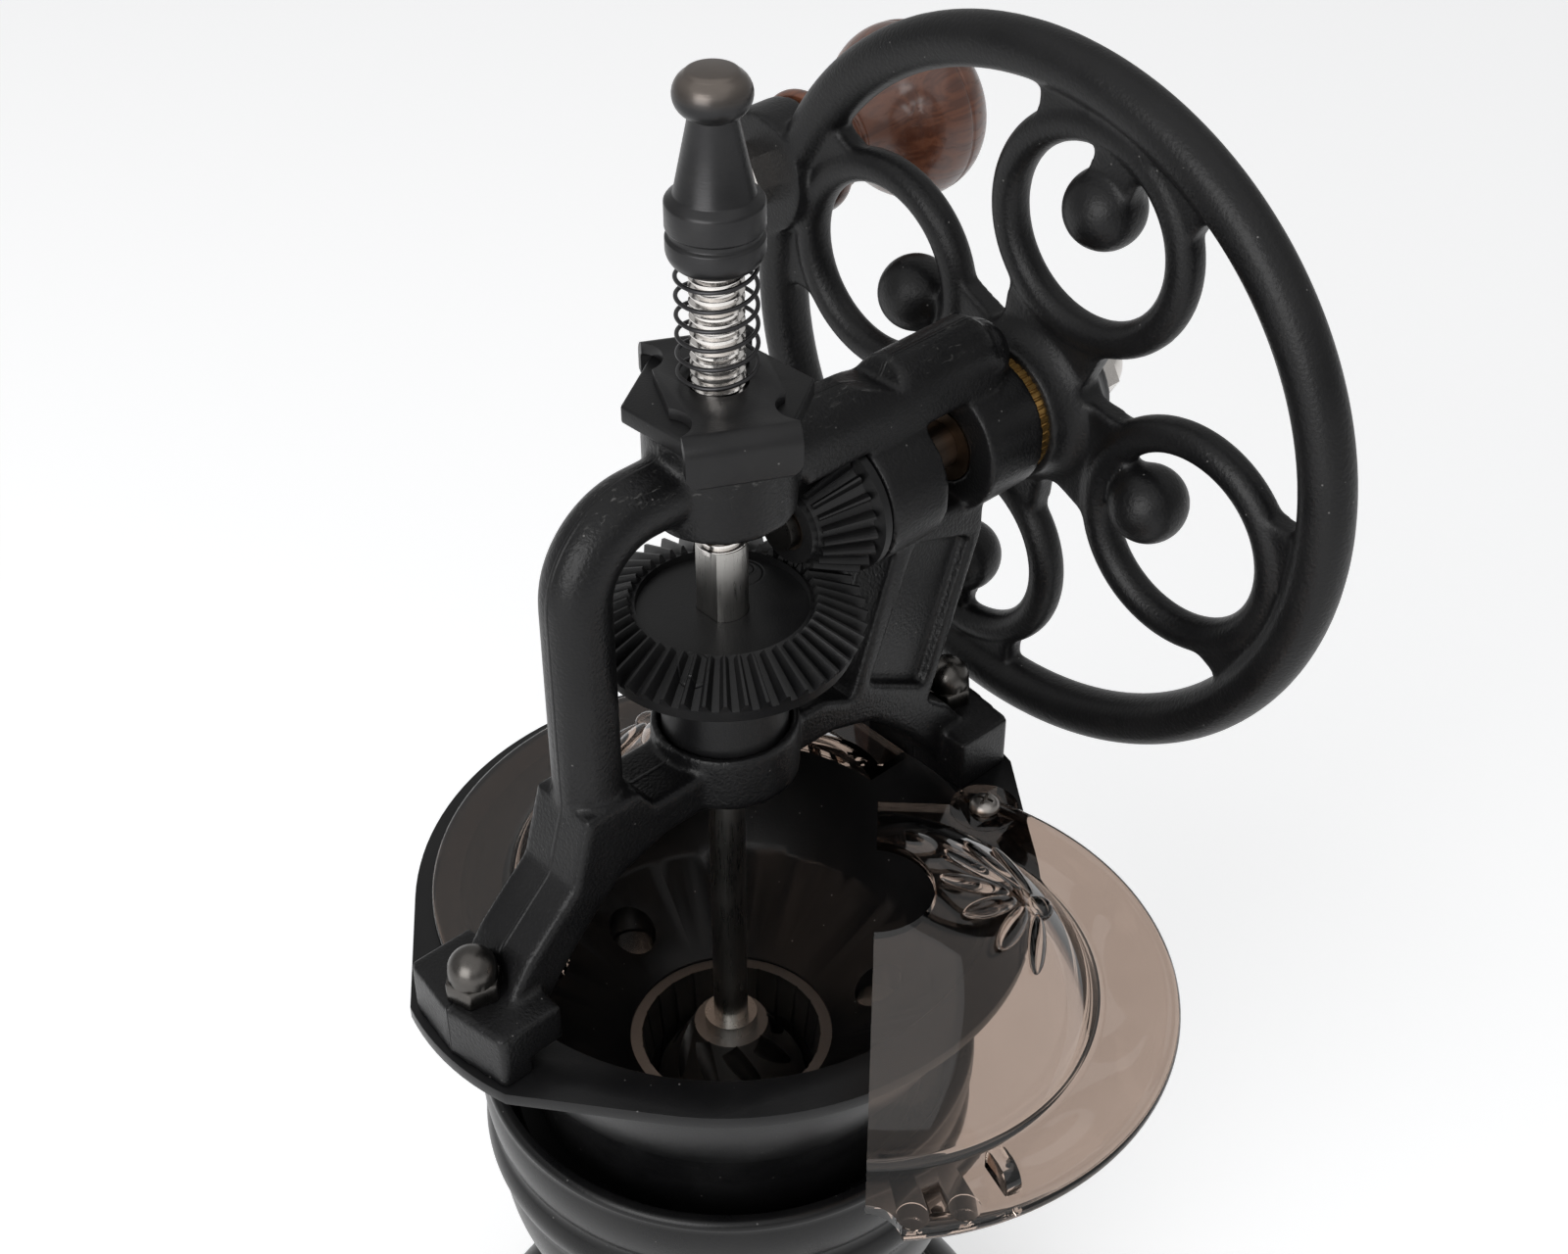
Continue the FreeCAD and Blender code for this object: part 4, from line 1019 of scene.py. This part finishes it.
@dataclass
class CrankWheel:
    """Open-work wheel on the crank shaft, with the gears."""

    shop: Shop
    middle_x: float = 68.85
    rim_r: float = 60.2
    rim_tube: float = 4.5
    loop_at: float = 36.3
    loop_r: float = 17.8
    loop_tube: float = 3.1
    ball_r: float = 6.75
    ball_in: float = 8.2
    ball_out: float = 5.0
    turn: float = 17.4
    hub_r: float = 12.0
    hub_near: float = 61.6
    hub_far: float = 76.0
    disc_r: float = 14.5
    disc_half: float = 4.0
    lug_r: float = 11.2
    lug_near: float = 64.2
    lug_far: float = 73.5
    handle_at: float = 65.2
    web: float = 4.4
    stalk_half: float = 4.5
    shaft_r: float = 4.0
    axle_r: float = 3.0
    fit: float = 0.02
    voxel: float = 0.6
    passes: int = 8

    def in_plane(self, out: float, side: float) -> Vector:
        """Point of the wheel's plane before it is turned, at the web's near face."""
        return Vector((self.middle_x - self.web / 2, out, side))

    def spoke(self, number: int) -> Piece:
        """One loop with its ball and webs, along +Y.

        Args:
            number: Place of the loop; even ones have their ball on the hub's side.

        Returns:
            Loose shells of the spoke.
        """
        inward = number % 2 == 0
        ball_at = self.loop_at - self.ball_in if inward else self.loop_at + self.ball_out
        stalk_end = self.loop_at - self.loop_r if inward else self.loop_at + self.loop_r
        low, high = sorted((ball_at, stalk_end))
        thick = Vector((self.web, 0, 0))
        at_x, half, stalk_half = self.middle_x, self.web / 2, self.stalk_half
        loop = Piece.ring("loop", self.loop_r, self.loop_tube, Vector((at_x, self.loop_at, 0)), 112)
        ball = Piece.ball("ball", self.ball_r, Vector((at_x, ball_at, 0)))
        stalk = Piece.block("stalk", (at_x - half, low, -stalk_half), (at_x + half, high, stalk_half))
        to_rim = [(46, 16), (54.1, 0, 46, -16), (57, -18.5), (60, 0, 57, 18.5)]
        to_hub = [(8, -9), (22, -11), (18.5, 0, 22, 11), (8, 9)]
        rim_web = Piece.plate("rim_web", to_rim, self.in_plane, thick)
        hub_web = Piece.plate("hub_web", to_hub, self.in_plane, thick)
        return loop.gathered(ball, stalk, rim_web, hub_web).turned(self.turn + 90 * number, Axis.X)

    def wheel(self) -> None:
        """Rim, spokes, hub and lug melted into one casting."""
        angle = math.radians(self.turn)
        handle = Vector((self.lug_near, self.handle_at * math.cos(angle), self.handle_at * math.sin(angle)))
        rim = Piece.ring("wheel_casting", self.rim_r, self.rim_tube, Vector((self.middle_x, 0, 0)), 256)
        near, far = self.middle_x - self.disc_half, self.middle_x + self.disc_half
        hub_r, throat = self.hub_r, self.hub_r + 0.7
        hub = Piece.lathe("hub", [
            (0, self.hub_near), (hub_r, self.hub_near), (throat, near - 0.6, self.disc_r, near + 1.4),
            (self.disc_r, far - 1.4), (throat, far + 0.6, hub_r, self.hub_far), (0, self.hub_far)], 96)
        hub.turned(90, Axis.Y)
        lug = Piece.rod("lug", self.lug_r, handle, Axis.X, self.lug_far - self.lug_near)
        rim.gathered(hub, lug, *[self.spoke(k) for k in range(4)])
        rim.cast(self.voxel, self.passes)
        bore = Piece.rod("bore", self.shaft_r + self.fit, Vector((self.hub_near - 5, 0, 0)), Axis.X, 30)
        axle_hole = Piece.rod("axle_hole", self.axle_r + self.fit, handle - Vector((5, 0, 0)), Axis.X, 30)
        rim.cut(bore, axle_hole).moved(0, 0, CRANK_Z)
        rim.dressed(self.shop.wheel, "crank", "wheel_black", "wheel", smooth=50)

    def build(self) -> None:
        """Build and dress the wheel and its drive."""
        self.wheel()
        nut = Piece.from_node("wheel_nut", "cap_nut").bevelled(0.3, 2, 30)
        nut.dressed(self.shop.nickel, "crank", "nickel", "wheel_nut")
        self.shop.paint(self.shop.nickel, "wheel_washer", "handle_bolt", "handle_nut", "handle_washer")
        self.shop.paint(self.shop.dark_nickel, "pinion_screw")
        self.shop.paint(self.shop.shaft, "crank_shaft")
        self.shop.paint(self.shop.brass, "brass_washer")
        self.shop.paint(self.shop.gear, "drive_gear")
        self.shop.paint(self.shop.pinion, "pinion")


@dataclass
class Grip:
    """Turned wooden grip on its axle."""

    shop: Shop
    handle_at: float = 65.2
    turn: float = 17.4
    axle_r: float = 3.06
    near: float = 74.8
    far: float = 113.8
    recess: float = 6.0
    recess_deep: float = 3.0

    def build(self) -> None:
        """Build and dress the grip."""
        near, far = self.near, self.far
        path = [
            (self.axle_r, near), (10.8, near), (11.4, near + 1.4, 10.8, near + 2.8), (8.7, near + 3.6),
            (8.1, near + 4.8), (8.1, near + 5.2), (8.9, near + 6.4, 8.1, near + 7.6), (7.9, near + 8.2),
            (8.3, near + 8.9, 7.9, near + 9.6), (8.9, far - 25.0, 12.4, far - 20.6),
            (15.5, far - 16.6, 16.38, far - 11.6), (16.15, far - 11.3), (16.15, far - 10.9),
            (16.3, far - 10.6), (14.8, far - 6.4, 11, far - 3), (8.8, far - 1, self.recess, far),
            (self.recess, far - self.recess_deep), (self.axle_r, far - self.recess_deep)]
        angle = math.radians(self.turn)
        grip = Piece.lathe("grip", path, 96, closed=True).bevelled(0.25, 2, 25).turned(90, Axis.Y)
        grip.moved(0, self.handle_at * math.cos(angle), CRANK_Z + self.handle_at * math.sin(angle))
        grip.dressed(self.shop.red_wood, "grip", "red_wood", "handle_grip")


@dataclass
class Lids:
    """Two smoked leaves with a raised fan on each dome, and their pivot screws."""

    shop: Shop
    radius: float = 49.5
    low: float = 0.3
    thick: float = 2.0
    edge: float = 0.8
    dome_r: float = 36.4
    dome_top: float = 24.0
    notch_r: float = 10.0
    open_turn: float = 44.0
    pivot: tuple = (42.3, -19.2)
    ear_r: float = 6.0
    ear_proud: float = 0.05
    screw_r: float = 1.5
    screw_fit: float = 0.06
    bite_r: float = 5.6
    pivot_corner: tuple = (42.8, -15.0)
    fan_drops: int = 7
    fan_root: tuple = (27.0, -78.0)
    fan_reach: float = 10.5
    fan_spread: float = 150.0
    fan_shorter: float = 0.14
    drop_half: tuple = (6.2, 1.75, 0.95)
    tab_turn: float = -151.5
    tab_half: float = 1.3
    gates: tuple = ((46.4, -161.0), (46.4, -170.6))
    gate_r: float = 2.4
    gate_high: float = 0.9
    head_r: float = 2.65

    def dome_arc(self) -> tuple:
        """Outer arc of the dome as three (radius, height) points."""
        return (self.dome_r, self.low + self.thick), (26, 15.3), (8, self.dome_top)

    def dome_height(self, radius: float) -> float:
        """Height of the dome's outer face at a radius."""
        start, middle, end = self.dome_arc()
        points = [start] + arc_through(start, middle, end, 60)
        for (r0, z0), (r1, z1) in zip(points, points[1:]):
            if r1 <= radius <= r0:
                return z0 + (z1 - z0) * (r0 - radius) / (r0 - r1)
        return self.dome_top

    def at(self, distance: float, azimuth: float, height: float) -> Vector:
        """Point of the closed front leaf at a radius and an azimuth in degrees."""
        turn = math.radians(azimuth)
        return Vector((distance * math.cos(turn), distance * math.sin(turn), height))

    def drop(self, middle: Vector, heading: float) -> Piece:
        """One raised drop that lies on the dome.

        Args:
            middle: Its place, seen from above.
            heading: Azimuth of its length.

        Returns:
            The drop, half sunk into the dome's face.
        """
        distance = middle.xy.length
        slope = self.dome_height(distance + 0.5) - self.dome_height(distance - 0.5)
        normal = Vector((-slope * middle.x / distance, -slope * middle.y / distance, 1)).normalized()
        along = Vector((math.cos(heading), math.sin(heading), 0))
        along = (along - normal * along.dot(normal)).normalized()
        turn = Matrix((along, normal.cross(along), normal)).transposed().to_4x4()
        drop = Piece.ball("drop", 1, Vector((0, 0, 0)), self.drop_half)
        drop.obj.data.transform(Matrix.Translation((middle.x, middle.y, self.dome_height(distance))) @ turn)
        return drop

    def fan(self) -> list[Piece]:
        """Raised drops that spread like a shell over the dome.

        Returns:
            The drops, and the bead at their root.
        """
        out, azimuth = self.fan_root
        root = self.at(out, azimuth, self.dome_height(out))
        inward = math.radians(azimuth + 180)
        pieces = [Piece.ball("fan_bead", 2.4, root, (1, 1, 0.7))]
        for k in range(self.fan_drops):
            swing = (k / (self.fan_drops - 1) - 0.5) * math.radians(self.fan_spread)
            reach = self.fan_reach * (1 - self.fan_shorter * abs(swing))
            heading = inward + swing
            along = Vector((math.cos(heading), math.sin(heading), 0))
            pieces.append(self.drop(root + along * reach, heading))
        return pieces

    def grip_tab(self) -> Piece:
        """Rounded bar that stands on the brim along a radius."""
        top = self.low + self.thick
        outline = [(40.0, top - 0.6), (40.0, top + 2.0), (40.8, top + 4.0, 42.6, top + 4.4),
                   (45.6, top + 3.6, 46.6, top + 0.4), (46.6, top - 0.6)]
        tab = Piece.plate("grip_tab", outline, lambda r, z: Vector((r, -self.tab_half, z)),
                          Vector((0, 2 * self.tab_half, 0)))
        return tab.bevelled(0.3, 2, 40).turned(self.tab_turn, Axis.Z)

    def leaf(self) -> Piece:
        """The plain leaf, closed, with its level measured from the flange."""
        start, middle, end = self.dome_arc()
        top = self.low + self.thick
        path = [(self.radius - 0.9, self.low), (self.radius, self.low + 1.2, self.radius - 1.0, top + 0.3),
                (self.radius - 2.6, top + 0.3), (self.radius - 3.4, top), (start[0] + 1.6, top),
                (start[0] + 0.5, top + 0.35, start[0] - 0.3, top + 1.2), (*middle, *end),
                (8, self.dome_top - 1.8), (25, 13.6, 34.6, self.low)]
        leaf = Piece.lathe("leaf", spread(path, 20), 192, closed=True)
        leaf.sliced((0, -self.edge, 0), (0, 1, 0))
        leaf.cut(Piece.rod("notch", self.notch_r, Vector((0, 0, 10)), Axis.Z, 20, 96))
        bite = Vector((-self.radius, -self.edge, -1))
        leaf.cut(Piece.rod("bite", self.bite_r, bite, Axis.Z, 8, 96))
        leaf.cut(Piece.block("corner", (*self.pivot_corner, -1), (60, 1, 8)))
        ear_low = Vector((*self.pivot, self.low))
        proud = Vector((0, 0, self.ear_proud))
        leaf.fused(Piece.rod("ear", self.ear_r, ear_low - proud, Axis.Z, self.thick + 2 * self.ear_proud))
        for distance, azimuth in self.gates:
            low = self.at(distance, azimuth, top - 0.5)
            leaf.fused(Piece.rod("gate_disc", self.gate_r, low, Axis.Z, self.gate_high, 40))
        leaf.fused(*self.fan())
        hole_low = ear_low - Vector((0, 0, 2))
        return leaf.cut(Piece.rod("pivot_hole", self.screw_r + self.screw_fit, hole_low, Axis.Z, 8))

    def screw(self, side: int) -> Piece:
        """One pan-head screw with a crossed recess.

        Args:
            side: -1 for the front leaf, 1 for the rear one.

        Returns:
            The screw.
        """
        head_low = self.low + self.thick + 0.3
        screw = Piece.lathe("pivot_screw", [
            (0, -5), (self.screw_r, -5), (self.screw_r, head_low), (self.head_r, head_low),
            (self.head_r, head_low + 0.6), (1.9, head_low + 1.5, 0, head_low + 1.8)], 64)
        for turn in (20, 110):
            slot = Piece.block("slot", (-1.5, -0.3, head_low + 0.7), (1.5, 0.3, head_low + 3))
            screw.cut(slot.turned(turn, Axis.Z))
        return screw.moved(self.pivot[0], -side * self.pivot[1], FLANGE_Z)

    def build(self) -> None:
        """Build and dress the lids."""
        leaf = self.leaf()
        rear = leaf.copied("rear_leaf").mirrored_y().moved(0, 0, FLANGE_Z)
        leaf.fused(self.grip_tab())
        rear.dressed(self.shop.smoked, "rear_leaf", "smoked", "rear_lid")
        front = leaf.turned(self.open_turn, Axis.Z, (*self.pivot, 0)).moved(0, 0, FLANGE_Z)
        front.obj.name = "front_leaf"
        front.dressed(self.shop.smoked, "front_leaf", "smoked", "front_lid")
        screws = self.screw(-1).gathered(self.screw(1))
        screws.dressed(self.shop.dull_nickel, "base", "nickel", "lid_screws")


@dataclass
class Studio:
    """Camera, soft light, pale floor and white background."""

    eye: Vector = Vector((-188.0, -215.5, 434.7)) * MM
    aim: Vector = Vector((6.87, -6.40, 213.28)) * MM
    lens: float = 53.70
    sensor: float = 36.0
    daylight: Colour = (0.95, 0.97, 1.0)
    ambient: float = 0.22
    horizon: float = 0.55
    ceiling: float = 0.66
    ceiling_from: float = 0.55
    floor_size: float = 12.0
    floor_grey: Colour = (0.82, 0.82, 0.82)
    floor_glow: float = 0.50

    def camera(self) -> None:
        """Camera of the photograph."""
        data = bpy.data.cameras.new("photo_camera")
        data.sensor_fit = "HORIZONTAL"
        data.sensor_width = self.sensor
        data.lens = self.lens
        data.clip_start = 0.01
        camera = bpy.data.objects.new("photo_camera", data)
        camera.location = self.eye
        camera.rotation_euler = (self.aim - self.eye).to_track_quat("-Z", "Y").to_euler()
        bpy.context.scene.collection.objects.link(camera)
        bpy.context.scene.camera = camera

    def softbox(self, name: str, place: tuple, size: float, watts: float) -> None:
        """Square area light that looks at the object.

        Args:
            name: Name of the light.
            place: Where it stands, in metres.
            size: Its side, in metres.
            watts: Its power.
        """
        data = bpy.data.lights.new(name, "AREA")
        data.size = size
        data.energy = watts
        light = bpy.data.objects.new(name, data)
        light.location = place
        light.rotation_euler = (self.aim - Vector(place)).to_track_quat("-Z", "Y").to_euler()
        bpy.context.scene.collection.objects.link(light)

    def world(self) -> None:
        """White where it is seen, greyer in mirror images, and an even light elsewhere."""
        world = bpy.data.worlds.new("studio_world")
        world.use_nodes = True
        bpy.context.scene.world = world
        wires = Wiring(world.node_tree)
        place = wires.node("ShaderNodeTexCoord")
        split = wires.node("ShaderNodeSeparateXYZ", None, {0: place.outputs["Generated"]})
        sweep = wires.node("ShaderNodeMapRange", None, {
            "Value": split.outputs["Z"], "From Min": 0.0, "From Max": self.ceiling_from,
            "To Min": self.horizon, "To Max": self.ceiling})
        light = wires.node("ShaderNodeBackground", None, {"Color": self.daylight, "Strength": self.ambient})
        mirrored = wires.node("ShaderNodeBackground", None, {"Strength": sweep.outputs[0]})
        seen = wires.node("ShaderNodeBackground")
        in_mirrors = wires.seen_by("Is Glossy Ray")
        straight = wires.seen_by("Is Camera Ray", "Is Transmission Ray")
        shade = light
        for background, share in ((mirrored, in_mirrors), (seen, straight)):
            shade = wires.node("ShaderNodeMixShader", None, {
                0: share, 1: shade.outputs[0], 2: background.outputs[0]})
        wires.node("ShaderNodeOutputWorld", None, {0: shade.outputs[0]})

    def floor(self) -> None:
        """Pale floor that keeps the object's shadow."""
        deselect()
        bpy.ops.mesh.primitive_plane_add(size=self.floor_size)
        floor = bpy.context.object
        floor.name = "floor"
        material = bpy.data.materials.new("pale_floor")
        material.use_nodes = True
        wires = Wiring(material.node_tree)
        matte = wires.node("ShaderNodeBsdfDiffuse", None, {"Color": self.floor_grey})
        seen = wires.seen_by("Is Camera Ray", "Is Glossy Ray", "Is Transmission Ray")
        glow = wires.node("ShaderNodeEmission", None, {"Strength": seen * self.floor_glow})
        total = wires.node("ShaderNodeAddShader", None, {0: matte.outputs[0], 1: glow.outputs[0]})
        wires.node("ShaderNodeOutputMaterial", None, {"Surface": total.outputs[0]})
        floor.data.materials.append(material)

    def build(self) -> None:
        """Set up the studio."""
        self.camera()
        self.world()
        self.floor()
        self.softbox("key_light", (-0.40, -0.30, 1.35), 2.6, 12)
        self.softbox("side_light", (-1.10, -0.35, 0.65), 0.9, 11)
        bpy.context.scene.view_settings.view_transform = "Standard"


def main() -> None:
    """Build every sub-assembly and report its pieces."""
    logging.basicConfig(level=logging.INFO)
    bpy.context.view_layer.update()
    shop = Shop()
    Studio().build()
    for kind in (Stand, Hopper, Casting, Spindle, CrankWheel, Grip, Lids):
        kind(shop).build()


if __name__ == "__main__":
    main()
